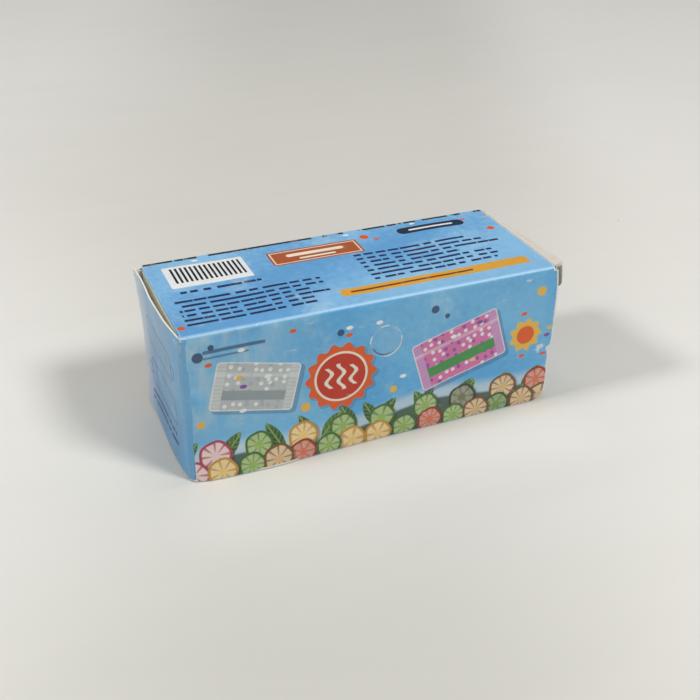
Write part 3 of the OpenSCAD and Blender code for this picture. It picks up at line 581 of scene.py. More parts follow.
def front_page(page):
    """Slices and leaves along the foot, two pouches, a badge with three heat lines, a sun, and scattered dots."""
    s, u, v = page.s, page.u, page.v
    crest = v - (s.sine(u * 0.11) * 1.3 + s.sine(u * 0.047) * 1.8 + 13.0)
    page.lay(s.step(crest, 0.6, -3.5), ink(204, 220, 224), 0.75)
    page.lay(s.step(crest + 5.5, 0.6, -0.6), ink(58, 78, 60), 0.9)
    page.leaves(12.6, 3.0, 9.4, 40.0)
    page.leaves(15.2, 9.0, 8.8, 71.0)
    page.slices(13.4, 5.0, 7.8, 5.0, 12.0)
    page.slices(16.6, 0.0, 1.9, 4.9, 57.0)
    page.slices(16.6, 8.3, 2.1, 4.8, 83.0)
    streaks = s.cloud(s.join(u * 0.20, v * 0.085, 5.0), 1.0, 5.0, 0.6)
    corner = s.step(u, -10.0, -48.0) * s.step(v, 12.0, 24.0)
    page.lay(corner * s.step(streaks, 0.34, 0.72), ink(196, 214, 218), 0.55)
    pouch(page, -38.5, 28.0, 12.6, 7.8, -13.0, GREY, ink(150, 162, 166), ink(168, 178, 182), ink(206, 212, 212))
    pouch(page, 26.5, 25.8, 14.6, 8.6, 16.0, PINK, GREEN, PURPLE, ink(196, 160, 206))
    page.disc(BADGE_U + 0.7, BADGE_V - 0.8, 10.7, ink(60, 84, 108), 14.0, 0.07, 0.35)
    page.disc(BADGE_U, BADGE_V, 10.5, ORANGE, 14.0, 0.07)
    page.ring(page.disc(BADGE_U, BADGE_V, 8.0, RED), 0.0, 0.35, CREAM)
    rise = v - BADGE_V
    for k in (-1, 0, 1):
        off = abs(u - (BADGE_U + 3.8 * k) - s.sine(rise * 1.15) * 0.9)
        page.lay(s.step(off, 0.75, 0.5) * s.step(abs(rise), 4.6 - abs(k), 4.3 - abs(k)), CREAM)
    for x, z, r in ((-54.5, 41.0, 1.6), (-50.6, 43.4, 0.9), (17.5, 41.5, 1.3), (21.6, 38.6, 0.8), (-12.5, 40.0, 1.1)):
        page.disc(x, z, r, NAVY, share=0.85)
    for x, z, r in ((-23.6, 17.4, 1.5), (4.6, 17.0, 1.2), (54.0, 40.5, 1.6), (-55.0, 19.0, 1.2)):
        page.disc(x, z, r, YELLOW)
    page.disc(SUN_U, SUN_V, 5.2, YELLOW, 9.0, 0.12)
    page.disc(SUN_U, SUN_V, 3.1, ORANGE)
    page.patch(-44.0, 42.2, 9.0, 0.55, NAVY, 0.5, share=0.7)
    page.patch(-46.4, 40.3, 6.6, 0.35, NAVY, 0.3, share=0.55)
    page.confetti(0.20, 0.15, [WHITE, YELLOW, ORANGE, PURPLE], s.step(v, 16.0, 18.0) * s.step(v, 46.0, 44.0))


def top_page(page):
    """A label of bars, a plaque, a tab and a strip, ruled blocks, and a dark bleed along the back fold."""
    s, u, v = page.s, page.u, page.v
    label = page.patch(-41.0, 11.5, 12.5, 7.2, WHITE)
    bars = s.step(s.sine(label.along * 4.2), -0.1, 0.1)
    page.lay(bars * (s.step(label.distance, -1.3, -1.45) * s.step(label.across, -4.4, -4.2)), ink(30, 32, 40))
    page.ring(page.patch(-6.0, 12.5, 15.0, 4.6, ink(176, 92, 52), 0.8), 0.9, 0.2, CREAM)
    for patch in (
        (-6.0, 13.3, 9.5, 0.9, CREAM, 0.9), (-6.0, 10.6, 6.0, 0.5, CREAM, 0.5),
        (36.0, 17.0, 12.0, 2.2, ink(40, 52, 74), 2.2), (36.0, 17.0, 8.0, 0.5, WHITE, 0.5),
        (22.0, -16.0, 31.0, 2.3, AMBER, 0.4), (14.0, -16.0, 20.0, 0.5, ink(120, 60, 34), 0.4),
    ):
        page.patch(*patch)
    page.rules(-33.0, -11.0, 22.0, 8.2, 2.75, 0.44, NAVY, 3.0)
    page.rules(28.0, -2.3, 24.0, 9.625, 2.75, 0.44, NAVY, 8.0)
    page.rules(-37.0, 1.2, 15.0, 1.4, 2.7, 0.5, NAVY, 15.0)
    for x, y, r in ((12.5, 17.5, 1.5), (15.8, 14.9, 0.8), (-57.0, -19.0, 1.1), (54.0, 9.0, 1.3)):
        page.disc(x, y, r, ORANGE)
    page.confetti(0.20, 0.14, [WHITE, YELLOW, ORANGE], s.step(v, 16.5, 18.5))
    broken = s.cloud(s.join(u, 4.0), 0.085, 4.0, 0.6)
    wavy = v + (s.cloud(s.join(u, 9.0), 0.3, 2.0) - 0.5) * 0.5
    bleed = s.step(wavy, 22.2, 22.5) * s.step(broken, 0.44, 0.47)
    page.lay(bleed, s.mix(s.step(broken, 0.60, 0.62), ink(46, 50, 60), ink(126, 84, 60)))


def bottom_page(page):
    page.rules(0.0, 4.0, 44.0, 9.0, 2.9, 0.42, NAVY, 21.0)
    page.patch(0.0, -14.0, 40.0, 1.8, AMBER, 0.4)


def end_page(page):
    """Two cells in outline; a stronger blue beside the hinge, and a painted sheen that makes it paler to the far side.
    """
    s = page.s
    page.lay(s.step(page.u, 12.0, 22.0), ink(106, 176, 222), 0.75)
    # Painted sheen: a pale wash over the half away from the hinge
    page.lay(s.step(page.u, -6.0, -22.0), ink(214, 222, 234), 0.75)
    for k in (-1, 1):
        v = 25.0 + 7.5 * k
        page.ring(page.patch(0.0, v, 13.5, 4.6, rounding=1.2), 0.1, 0.24, NAVY, 0.65)
        page.ring(page.patch(15.2 * k, v, 1.5, 1.9, rounding=0.4), 0.1, 0.22, NAVY, 0.65)
        page.patch(8.5 * k, v, 0.22, 2.0, NAVY, 0.1, share=0.65)
    page.rules(0.0, 8.2, 15.0, 2.5, 2.5, 0.42, ink(60, 78, 120), 31.0)


# Materials

def near(s, value, edge, reach):
    """1 at an edge, falling to 0 at a distance from it."""
    return s.step(abs(value - edge), reach, 0.0)


def front_damage(page, spot, axes):
    """Bare board on the front: a torn flake, the ragged right edge and a sliver along the foot."""
    s = page.s
    flake = s.group(ink_disc, page, centre_u=55.2, centre_v=20.4, radius=1.3, lobes=3.0, depth=0.3)
    torn = flake.distance - (s.cloud(spot, 0.9, 4.0, 0.6) - 0.5) * 5.5
    to_edge = Value(s, s.node("Attribute", {}, attribute_name=TO_TEAR).outputs["Fac"])
    ragged = to_edge + (s.cloud(spot, 1.1, 3.0) - 0.5) * 0.5
    sliver = s.step(abs(axes["x"] + 33.0), 8.0, 5.0) * near(s, axes["z"], 0.0, 1.5)
    return [s.step(torn, 0.3, -0.5) * 0.75, s.step(ragged, 0.58, 0.34), s.step(sliver, 0.3, 0.45)]


def printed(name, seed, blues, across, up, write, folds, cuts, rub, damage=None):
    """Material of one printed panel. across and up are the axes of its page, such as -x; folds are (axis, place,
    reach, wear), with wear setting both the worn ink and the painted highlight along the fold; cuts are (axis,
    place, reach), and damage gives more bare board."""
    def look(s, spot):
        axes = dict(zip("xyz", s.split(spot)))
        u, v = (axes[way[-1]] * -1.0 if way[0] == "-" else axes[way] for way in (across, up))
        page = Page(s, u, v, seed, blues)
        write(page)
        fold = s.most(*(near(s, axes[axis], edge, reach) * wear_and_highlight for axis, edge, reach, wear_and_highlight in folds))
        bare = damage(page, spot, axes) if damage else []
        for axis, edge, reach in cuts:
            rough = s.cloud(spot, 0.9, 3.0) * (reach * 1.6)
            bare.append(s.step(abs(axes[axis] - edge) - rough, 0.08, -0.08))
        cut = s.most(*bare) if bare else 0.0
        return s.group(card_stock, place=spot, print=page.paint, fold=fold, cut=cut, rub=rub)
    return new_material(name, look, 0.35, specular=0.45)


def plain_board(name, pale, light, dark, painted_shade_end=False):
    """Unprinted side and cut edges of the board, in three tones. The bulged flap's front end gets painted shade, a
    patchy dark grey.
    """
    def look(s, spot):
        fibre = s.cloud(s.stretch(spot, (0.4, 1.4, 1.4)), 1.0, 4.0, 0.6)
        speck = s.cloud(spot, 1.9, 2.0, 0.6)
        dust = s.cloud(spot, 0.11, 3.0)
        colour = s.mix(s.step(fibre, 0.3, 0.75), pale, light)
        colour = s.mix(s.step(speck, 0.66, 0.74) * 0.5, colour, dark)
        colour = s.mix(s.step(dust, 0.5, 0.8) * 0.3, colour, dark)
        if painted_shade_end:
            x, y, z = s.split(spot)
            end = s.step(y, -21.7, -22.3) * s.step(x, 58.4, 58.8) * s.step(z, 47.6, 46.6)
            stain = s.step(s.cloud(spot, 0.22, 2.0), 0.45, 0.6) * near(s, x, 60.2, 1.1)
            colour = s.mix(stain * 0.3, colour, ink(214, 186, 158))
            # Painted shade: the flap's front end, masked by end, mixed towards a dark grey
            colour = s.mix(end * (0.5 + dust * 0.8), colour, ink(112, 112, 102))
        return SimpleNamespace(colour=colour, roughness=0.68 + fibre * 0.2, height=fibre + speck * 0.4)
    return new_material(name, look, 0.25, 0.0004, specular=0.3)


def moulded(name, base, sheen, depth=0.12):
    def look(s, spot):
        return s.group(moulded_grain, place=spot, base=base, sheen=sheen)
    return new_material(name, look, depth, 0.0004)


def drawn(name, base, tarnish, sheen):
    def look(s, spot):
        return s.group(drawn_metal, place=spot, base=base, tarnish=tarnish, sheen=sheen)
    return new_material(name, look, 0.06, 0.0002, metallic=1.0)


# Painted highlights on the sticker's rim, whitish: their angle, and where in its cosine they start and are full
RIM_GLINTS = [(-0.95, 0.55, 0.90), (1.65, 0.93, 0.985), (0.05, 0.985, 0.997), (2.9, 0.94, 0.985)]


def film_look(s, spot):
    """Clear film, all but unseen: painted highlights make its rim whitish in places, and painted shade makes a dark
    line inside it at the lower left.
    """
    x, _, z = s.split(spot)
    wrinkle = s.cloud(spot, 0.35, 4.0, 0.6)
    disc = s.group(ink_disc, u=x, v=z, centre_u=STICKER_X, centre_v=STICKER_Z, radius=STICKER_R)
    rim = s.step(disc.distance, -0.5, -0.25)
    glint = s.most(0.16, *(s.step(s.cosine(disc.angle - a), low, high) for a, low, high in RIM_GLINTS))
    # Painted shade: a dark line just inside the rim, at the lower left
    inside = s.step(abs(disc.distance + 0.75), 0.4, 0.1)
    dark = inside * s.step(s.cosine(disc.angle + 2.0), 0.4, 0.9)
    seen = s.most(rim * (glint * 0.8), dark * 0.28)
    return SimpleNamespace(
        colour=s.mix(dark, ink(240, 246, 248), ink(62, 96, 124)), roughness=0.16 + wrinkle * 0.16, height=wrinkle,
        alpha=0.03 + (seen + s.step(wrinkle, 0.55, 0.8) * 0.05),
    )


def floor_look(s, spot):
    """Floor in two greys, with painted light and shade: darker behind and in front of the carton, paler to both
    sides, and a painted bounce of light close to its front.
    """
    x, y, _ = s.split(spot)
    grain = s.cloud(spot, 0.5, 3.0)
    aside = x * 0.92 - y * 0.39
    depth = x * 0.39 + y * 0.92
    far = s.step(depth, 0.0, 220.0)
    reach = 130.0 + far * (30.0 + s.step(aside, 20.0, -20.0) * 70.0)
    # Painted light and shade: darker behind and in front of the carton, paler to both sides
    base = 0.2 + far * 0.16 - s.step(depth, -60.0, -115.0) * 0.17
    pale = base + (1.0 - base) * s.step(abs(aside), 15.0 + far * 35.0, reach)
    # Painted bounce light: paler in front of the carton's front face
    close = s.step(y, -24.0, -26.0) * s.step(y, -68.0, -30.0) * s.step(abs(x), 75.0, 50.0)
    smear = s.cloud(s.stretch(spot, (0.012, 0.05, 0.02)), 1.0, 4.0, 0.6)
    blotch = (s.cloud(spot, 0.004, 3.0) + smear * 0.6 - 0.8) * 0.32
    tone = s.mix(pale + close * 0.35 + blotch, ink(208, 207, 201), ink(237, 236, 231))
    speck = s.step(s.cloud(spot, 0.3, 1.0), 0.80, 0.83) * 0.3
    colour = s.mix(speck, tone, ink(140, 134, 124))
    return SimpleNamespace(colour=colour, roughness=0.55 + grain * 0.1, height=grain)


FRONT_BLUES = (ink(90, 172, 228), ink(120, 188, 230))
TOP_BLUES = (ink(102, 165, 218), ink(140, 195, 236))
END_BLUES = (ink(108, 158, 202), ink(136, 176, 210))
LONG_FOLDS = [("z", HEIGHT, 1.2, 0.8), ("z", 0.0, 0.7, 0.8)]
FRONT = printed(
    "front_print", 2.0, FRONT_BLUES, "x", "z", front_page, LONG_FOLDS + [("x", -59.0, 1.6, 0.12)], [], 0.45,
    front_damage,
)
BACK = printed(
    "back_print", 5.0, FRONT_BLUES, "-x", "z", front_page, LONG_FOLDS + [("x", 59.0, 1.6, 0.12)],
    [("x", -59.2, 0.22)], 0.45,
)
TOP = printed(
    "top_print", 9.0, TOP_BLUES, "x", "y", top_page,
    [("y", HALF_W, 0.8, 0.5), ("y", -HALF_W, 1.5, 0.8), ("x", -58.3, 0.6, 0.35), ("x", 58.2, 0.9, 1.0)], [], 0.30,
)
BOTTOM = printed(
    "bottom_print", 13.0, TOP_BLUES, "x", "-y", bottom_page,
    [("y", HALF_W, 0.9, 0.8), ("y", -HALF_W, 0.9, 0.8), ("x", -58.1, 0.8, 0.8), ("x", 58.1, 0.8, 0.8)], [], 0.5,
)
LEFT_END = printed(
    "left_end_print", 17.0, END_BLUES, "-y", "z", end_page, [("y", -24.2, 1.4, 0.12), ("y", 22.6, 0.8, 0.5)],
    [("z", 0.55, 0.2)], 0.45,
)
RIGHT_END = printed(
    "right_end_print", 23.0, END_BLUES, "y", "z", end_page, [("y", 24.2, 1.4, 0.12), ("y", -22.6, 0.8, 0.5)],
    [("z", 0.55, 0.2)], 0.40,
)
BARE = plain_board("bare_board", ink(232, 228, 218), ink(240, 237, 229), ink(206, 198, 182))
FLAP = plain_board("flap_board", ink(213, 208, 199), ink(221, 217, 209), ink(192, 185, 172), True)
# Painted light: a paler copy of the flap board, standing in for light that reaches the left top dust flap in the gap
# above the closure
LIT_GAP_FLAP = plain_board("gap_flap_board", ink(246, 247, 230), ink(250, 251, 238), ink(228, 226, 206))
CLEAR = new_material("clear_film", film_look, 0.3)
CASING = moulded("casing_grey", ink(206, 209, 210), 0.42)
INNER = moulded("inner_grey", ink(192, 196, 197), 0.48)
CERAMIC = moulded("ceramic", ink(236, 232, 222), 0.30, 0.05)
SILICONE = moulded("silicone", ink(188, 82, 64), 0.55)
SLIP = moulded("slip_film", ink(178, 132, 84), 0.38, 0.2)
RED_SLEEVE = moulded("red_sleeve", ink(186, 40, 34), 0.40)
BLACK_SLEEVE = moulded("black_sleeve", ink(34, 34, 37), 0.40)
STEEL = drawn("steel", ink(196, 198, 202), ink(150, 148, 144), 0.24)
BRASS = drawn("brass", ink(206, 170, 92), ink(150, 112, 58), 0.26)
RIBBON = drawn("ribbon", ink(160, 156, 150), ink(110, 100, 96), 0.34)


# Mesh work

def coat(mesh, material):
    """Gives a mesh one material."""
    mesh.materials.clear()
    mesh.materials.append(material)


def soften(mesh, sharp):
    """Smooth shading, with the edges over an angle sharp."""
    mesh.shade_smooth()
    mesh.set_sharp_from_angle(angle=math.radians(sharp))


def add_piece(name, points, faces, materials, slots=None):
    """A mesh object from points in millimetres."""
    mesh = bpy.data.meshes.new(name)
    mesh.from_pydata(metres(points), [], faces)
    for material in materials:
        mesh.materials.append(material)
    if slots:
        mesh.polygons.foreach_set("material_index", slots)
    soften(mesh, 38.0)
    mesh.update()
    return linked(name, mesh)


def board_piece(name, grid, materials, thickness=BOARD, face_slot=lambda i: 0):
    """Board with a thickness, from its outer face: rows of (point, normal). face_slot gives the slot of a row of outer
    faces; the inside and the rim have the last material."""
    cols, bare = len(grid[0]), len(materials) - 1
    points = [p for row in grid for p, n in row] + [p - n * thickness for row in grid for p, n in row]
    size = len(grid) * cols
    faces, slots = [], []
    for i in range(len(grid) - 1):
        for a in range(i * cols, (i + 1) * cols - 1):
            face = (a, a + 1, a + cols + 1, a + cols)
            faces += [face, tuple(k + size for k in reversed(face))]
            slots += [face_slot(i), bare]
    loop = [*range(cols), *range(2 * cols - 1, size, cols)]
    loop += [*range(size - 2, size - cols - 1, -1), *range(size - 2 * cols, 0, -cols)]
    for a, b in zip(loop, loop[1:] + loop[:1]):
        faces.append((b, a, a + size, b + size))
        slots.append(bare)
    (a, n), (b, _), (c, _) = grid[0][0], grid[0][1], grid[1][1]
    if (b - a).cross(c - b).dot(n) < 0:
        faces = [tuple(reversed(f)) for f in faces]
    return add_piece(name, points, faces, materials, slots)


def steps(a, b, size):
    """Even places from a to b, about a size apart."""
    count = max(1, round(abs(b - a) / size))
    return [a + (b - a) * k / count for k in range(count + 1)]


def arc(cy, cz, r, a0, count):
    """Points and normals of a quarter turn in Y and Z."""
    turns = [math.radians(a0 + 90.0 * k / count) for k in range(count + 1)]
    return [(cy + r * math.cos(a), cz + r * math.sin(a), math.cos(a), math.sin(a)) for a in turns]


def wander(x, y, z, scale):
    return noise.noise(Vector((x, y, z)) * scale)


def swell(u, v, half_u, v0, v1, seed, bow, dents):
    """How far a panel stands out of flat: a bow over it and soft dents, none at its creases."""
    a = 1.0 - min(abs(u) / half_u, 1.0) ** 4
    b = math.sin(math.pi * min(max((v - v0) / (v1 - v0), 0.0), 1.0))
    return a * b * bow + min(1.0, 3.0 * a) * min(1.0, 2.2 * b) * dents * wander(u, v, seed, 0.055)


# Panels that stand out of flat: half their length, their two sides, the seed of their dents, bow and depth of dents
PANEL_SWELL = {
    "front": (59.0, 0.0, HEIGHT, 3.0, 0.12, 0.32),
    "top": (59.0, -23.6, 23.6, 11.0, -0.10, 0.30),
    "back": (59.0, 0.0, HEIGHT, 17.0, 0.12, 0.30),
}
PANEL_ENDS = {
    "back": (-PANEL_X, PANEL_X - CORNER), "front": (CORNER - PANEL_X, PANEL_X), "lap": (-46.0, 57.0),
    "edge": (-HALF_L, HALF_L), "top": (-HALF_L, HALF_L), "bottom": (-HALF_L, HALF_L),
}
PANEL_SLOTS = {"back": 0, "top": 1, "front": 2, "bottom": 3, "lap": 4}
# Front panel's right edge: height, and how far it is torn back
TEAR = [
    (0.0, 0.55), (2.2, 0.45), (3.4, 0.3), (4.4, 0.15), (7.0, 0.05), (10.5, 0.0), (13.5, 0.25), (16.4, 0.15),
    (18.4, 0.65), (19.9, 1.1), (20.5, -0.25), (21.4, -0.48), (24.0, -0.6), (41.0, -0.6), (46.7, 0.1),
]
# Front panel's foot: place along the carton, and how far it is pressed out
BELLY = [
    (-59.0, 0.1), (-54.0, 1.4), (-49.0, 1.8), (-40.0, 2.0), (-36.0, 2.1), (-31.0, 2.0), (-26.0, 1.5), (-20.0, 1.2),
    (-11.0, 0.8), (-6.0, 0.6), (4.0, 0.3), (25.0, 0.3), (35.0, 0.1), (47.0, 0.0), (60.0, 0.0),
]


def torn_in(z):
    """How far the front panel's right edge is torn back at a height; below zero where it stands out."""
    rag = 0.16 * wander(z * 3.0, 0.0, 7.0, 0.5) if z < 21.0 else 0.05 * wander(z, 2.0, 5.0, 0.4)
    return between(TEAR, z) + rag


def settle(p):
    """The carton's front is pressed out along the floor, and its lower right corner crushed up and in a little."""
    belly = between(BELLY, p.x) * ease(1.0 - p.z / 15.0) * ease((-p.y - 6.0) / 17.0)
    p = Vector((p.x, p.y - belly, p.z))
    reach = math.sqrt(((p.x - 59.2) / 5.0) ** 2 + ((p.y + HALF_W) / 4.5) ** 2 + (p.z / 3.4) ** 2)
    return p + ease(1.0 - reach) * Vector((-0.5, 0.7, 0.9))


def sleeve_rows():
    """Lines along the carton, in turn round it: panel, place in Y and Z, and outward direction."""
    heights = {*steps(46.68, 0.6, 1.6), 20.9, 20.5, 20.2, 19.9, 19.5, 18.4, 3.4, 2.2, 1.6}
    parts = [
        ("back", [(HALF_W, z, 1.0, 0.0) for z in steps(0.3, 46.9, 2.0)]),
        ("edge", arc(HALF_W - FOLD, HEIGHT - FOLD, FOLD, 0.0, 8)),
        ("top", [(y, HEIGHT, 0.0, 1.0) for y in steps(23.2, -22.8, 2.0)]),
        ("edge", arc(SOFT_FOLD - HALF_W, HEIGHT - SOFT_FOLD, SOFT_FOLD, 90.0, 10)),
        ("front", [(-HALF_W, z, -1.0, 0.0) for z in sorted(heights, reverse=True)]),
        ("edge", arc(FLOOR_FOLD - HALF_W, FLOOR_FOLD, FLOOR_FOLD, 180.0, 6)),
        ("bottom", [(y, 0.0, 0.0, -1.0) for y in steps(-23.7, 22.7, 2.0)]),
        ("edge", arc(LAP_Y - FOLD, FOLD, FOLD, 270.0, 6)),
        ("lap", [(LAP_Y, z, 1.0, 0.0) for z in steps(1.1, 12.5, 2.0)]),
    ]
    return [(panel, *line) for panel, lines in parts for line in lines]


def make_sleeve():
    """The carton's tube. Each point keeps how far it is from its line's right end, on the front the torn edge."""
    rows = sleeve_rows()
    shares = sorted({*steps(0.0, 1.0, 1.0 / 58.0), 0.004, 0.01, 0.975, 0.985, 0.99, 0.996})
    grid, to_edge = [], []
    for panel, y, z, ny, nz in rows:
        x0, x1 = PANEL_ENDS[panel]
        if panel == "front":
            x1 -= torn_in(z)
        elif z > 40.0:
            # The front fold's left end stands out, up to the closure
            x0 -= 0.85 * ease((-y - 21.0) / 1.6)
        n = Vector((0.0, ny, nz))
        line = []
        for t in shares:
            x = x0 + (x1 - x0) * t
            off = swell(x, y if panel == "top" else z, *PANEL_SWELL[panel]) if panel in PANEL_SWELL else 0.0
            line.append((settle(Vector((x, y, z)) + n * off), n))
            to_edge.append(x1 - x)
        grid.append(line)

    def face_slot(i):
        """The panel of a row of faces, for a fold the nearest one."""
        near_rows = sorted(range(len(rows)), key=lambda at: (max(i - at, at - i - 1), at))
        return PANEL_SLOTS[next(rows[at][0] for at in near_rows if rows[at][0] != "edge")]

    sleeve = board_piece(
        "sleeve_board", grid, [BACK, TOP, FRONT, BOTTOM, BARE], face_slot=functools.cache(face_slot),
    )
    rim = sleeve.data.attributes.new(TO_TEAR, "FLOAT", "POINT")
    rim.data.foreach_set("value", to_edge + to_edge)
    return sleeve


# Closures: height and the degrees that they stand open; place across and how far they bow out, at foot and top
LEFT_AJAR = [
    (0.0, 0.5), (8.0, 0.55), (12.0, 0.77), (21.0, 0.9), (30.0, 1.02), (37.0, 1.27), (44.0, 1.7), (48.7, 2.3),
]
RIGHT_AJAR = [(0.0, 0.6), (48.0, 0.6)]
LEFT_BOW = [
    (-24.0, 0.0), (-20.0, 0.65), (-14.5, 0.95), (-9.0, 1.3), (-3.5, 1.1), (2.0, 0.95), (8.0, 0.7), (14.0, 0.6),
    (18.0, 0.8), (23.0, 1.1),
]
LEFT_TOP_BOW = [
    (-24.0, 0.0), (-18.0, 0.62), (-13.0, 1.0), (-3.0, 1.05), (2.5, 0.95), (8.0, 0.5), (13.5, 0.2), (23.0, 0.25),
]


def closure_path():
    """The left closure's outer face from above: place, outward direction, and 0 on the panel to 1 on the tongue."""
    root_x, bend_y = TONGUE_BEND - PANEL_X, TONGUE_Y - TONGUE_BEND
    path = [(-PANEL_X, y, -1.0, 0.0, 0.0) for y in steps(CORNER - HALF_W, bend_y, 2.0)]
    for k in range(1, 8):
        a = math.radians(180.0 - 90.0 * k / 8)
        c, n = math.cos(a), math.sin(a)
        path.append((root_x + TONGUE_BEND * c, bend_y + TONGUE_BEND * n, c, n, 0.1 * k))
    return path + [(x, TONGUE_Y, 0.0, 1.0, 1.0) for x in steps(root_x, TONGUE_X, 0.75)]


def tongue_cut(x, share):
    """How far the closure is cut back at its top and foot: a step to the tongue, a slant along it, and its corners."""
    cut = 1.2 * ease(share)
    if share == 1.0:
        root_x, left = TONGUE_BEND - PANEL_X, TONGUE_X - x
        cut += 3.3 * (x - root_x) / (TONGUE_X - root_x)
        if left < TONGUE_ROUND:
            cut += TONGUE_ROUND * (1.0 - math.sqrt(max(0.0, 1.0 - (1.0 - left / TONGUE_ROUND) ** 2)))
    return cut


def make_closure(name, top, ajar, face, right):
    """Closure panel with its tuck tongue. Made for the left end; the right end's is turned round and doesn't bow."""
    grid = []
    for x, y, nx, ny, share in closure_path():
        cut = tongue_cut(x, share)
        low, high = CLOSURE_LOW + cut, top - cut
        if not right:
            # The foot is a little lower than the crease's, and the top edge rises away from it
            far = (y - HINGE.y) / (TONGUE_Y - HINGE.y)
            low -= 0.3 * ease(far / 0.2)
            high += 0.9 * far ** 1.5
        line = []
        for z in steps(low, high, (high - low) / 26.0):
            off = swell(y, z, 24.4, CLOSURE_LOW, top, 29.0 if right else 31.0, 0.10, 0.28) if share == 0.0 else 0.0
            if not right:
                off += between(LEFT_BOW, y) * ease(1.0 - z / 14.0) * (1.0 - share)
                off += between(LEFT_TOP_BOW, y) * ease((z - 24.0) / 22.0) * (1.0 - share)
            spin = Matrix.Rotation(math.radians(between(ajar, z)), 3, "Z")
            n = Vector((nx, ny, 0.0))
            p = spin @ (Vector((x, y, z)) + n * off - HINGE) + HINGE
            n = spin @ n
            line.append((Vector((-p.x, -p.y, p.z)), Vector((-n.x, -n.y, n.z))) if right else (p, n))
        grid.append(line)
    return board_piece(name, grid, [face, BARE])


def smooth_line(points, count):
    """A soft curve through a row of control points, with a count of steps between each two."""
    padded = [points[0] * 2 - points[1]] + points + [points[-1] * 2 - points[-2]]
    made = []
    for k in range(len(points) - 1):
        p = padded[k:k + 4]
        for m in range(count):
            t = m / count
            made.append(0.5 * (
                2 * p[1] + (p[2] - p[0]) * t + (2 * p[0] - 5 * p[1] + 4 * p[2] - p[3]) * t * t
                + (3 * p[1] - p[0] - 3 * p[2] + p[3]) * t ** 3
            ))
    made.append(points[-1])
    return made


def make_bulged_flap():
    """Right top dust flap: it bulges out over the closure's top edge, more so at its front end, which turns in. Below
    the drop of the bulge it is flat and hidden."""
    drop = 7.8
    end, turn_in = FLAP_Y1 + 1.3, 2.2
    places = steps(FLAP_Y0, end - turn_in, 1.5)
    places += [end - turn_in * (1.0 - math.sin(a * math.pi / 16.0)) for a in range(1, 9)]
    grid = []
    for y in places:
        f = min((y - FLAP_Y0) / (FLAP_Y1 - FLAP_Y0), 1.0)
        depth = min(FLAP_DEPTH, (y - FLAP_Y0) / 1.05, 7.0 + (FLAP_Y1 - y) * 2.4)
        bulge = 0.6 + 3.2 * f + 0.25 * wander(y, 3.0, 1.0, 0.12)
        inward = 1.0 - (end - y) / turn_in
        if inward > 0.0:
            bulge = 0.9 + (bulge - 0.9) * math.sqrt(max(0.0, 1.0 - inward * inward))
        line = smooth_line([Vector(p) for p in (
            (0.0, 0.0), (max(bulge - 0.45, 0.12), 0.0), (bulge, -0.6), (1.2 * bulge, 1.1 - drop),
            (0.92 * bulge, 0.3 - drop), (0.0, -drop), (0.0, -max(depth, drop + 0.1)),
        )], 6)
        row = []
        for k, q in enumerate(line):
            t = line[min(k + 1, len(line) - 1)] - line[max(k - 1, 0)]
            t = t.normalized() if t.length > 1e-6 else Vector((0.0, -1.0))
            p = q + Vector((-t.y, t.x)) * BOARD / 2
            row.append((Vector((CREASE_X + p.x, -y, CREASE_HIGH + p.y)), Vector((-t.y, 0.0, t.x))))
        grid.append(row)
    return board_piece("right_top_flap_board", grid, [FLAP, BARE])


def corner_path(cx, cy, r, a0, a1, lead, count):
    """A straight lead, an arc and a straight lead: points and their normals, in two coordinates."""
    way = 1.0 if a1 > a0 else -1.0
    turns = [(a0, -lead), (a0, -lead / 2)] + [(a0 + (a1 - a0) * k / count, 0.0) for k in range(count + 1)]
    made = []
    for a, out in turns + [(a1, lead / 2), (a1, lead)]:
        c, n = math.cos(math.radians(a)), math.sin(math.radians(a))
        made.append(((cx + r * c - way * n * out, cy + r * n + way * c * out), (c, n)))
    return made


def make_crease(name, path, ends, upright, face, thickness):
    """Board across a crease, a hair over both pieces that it joins. ends are its two ends along the crease."""
    def spread(p, t):
        return Vector((p[0], p[1], t)) if upright else Vector((p[0], t, p[1]))
    along = steps(*ends, 1.5)
    grid = [[(spread(p, t), spread(n, 0.0)) for t in along] for p, n in path]
    piece = board_piece(name, grid, [face, BARE], thickness)
    return piece


def make_sticker():
    """Round clear film on the front panel, a little loose at its rim."""
    rings, sides = 9, 48
    points, faces = [], []

    def add_point(x, z, lift):
        points.append((x, -HALF_W - swell(x, z, *PANEL_SWELL["front"]) - lift, z))

    for lift in (0.12, 0.02):
        add_point(STICKER_X, STICKER_Z, lift)
        for i in range(1, rings + 1):
            for k in range(sides):
                c, n = math.cos(2.0 * math.pi * k / sides), math.sin(2.0 * math.pi * k / sides)
                loose = 0.05 * max(0.0, wander(c * 3.0, n * 3.0, 4.0, 1.0)) * (i / rings) ** 6
                d = STICKER_R * i / rings
                add_point(STICKER_X + d * c, STICKER_Z + d * n, loose + lift)
    size = 1 + rings * sides
    for base in (0, size):
        for k in range(sides):
            m = (k + 1) % sides
            ring = [(base, base + 1 + k, base + 1 + m)]
            for i in range(rings - 1):
                a = base + 1 + i * sides
                ring.append((a + k, a + sides + k, a + sides + m, a + m))
            faces += [tuple(reversed(f)) for f in ring] if base else ring
    edge = 1 + (rings - 1) * sides
    for k in range(sides):
        m = (k + 1) % sides
        faces.append((edge + m, edge + k, edge + size + k, edge + size + m))
    return add_piece("sticker_film", points, faces, [CLEAR])


# Sealer

def finish_piece(piece, body, slot, node):
    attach(piece, body)
    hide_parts(node)


def plain_mesh(piece):
    """Turns a piece with modifiers into a plain mesh."""
    graph = bpy.context.evaluated_depsgraph_get()
    graph.update()
    mesh = bpy.data.meshes.new_from_object(piece.evaluated_get(graph))
    piece.modifiers.clear()
    old, piece.data = piece.data, mesh
    bpy.data.meshes.remove(old)


def volume(mesh):
    work = bmesh.new()
    work.from_mesh(mesh)
    size = work.calc_volume()
    work.free()
    return size


# Share of its volume that a piece may lose to its rounded edges
VOLUME_SLACK = 0.04


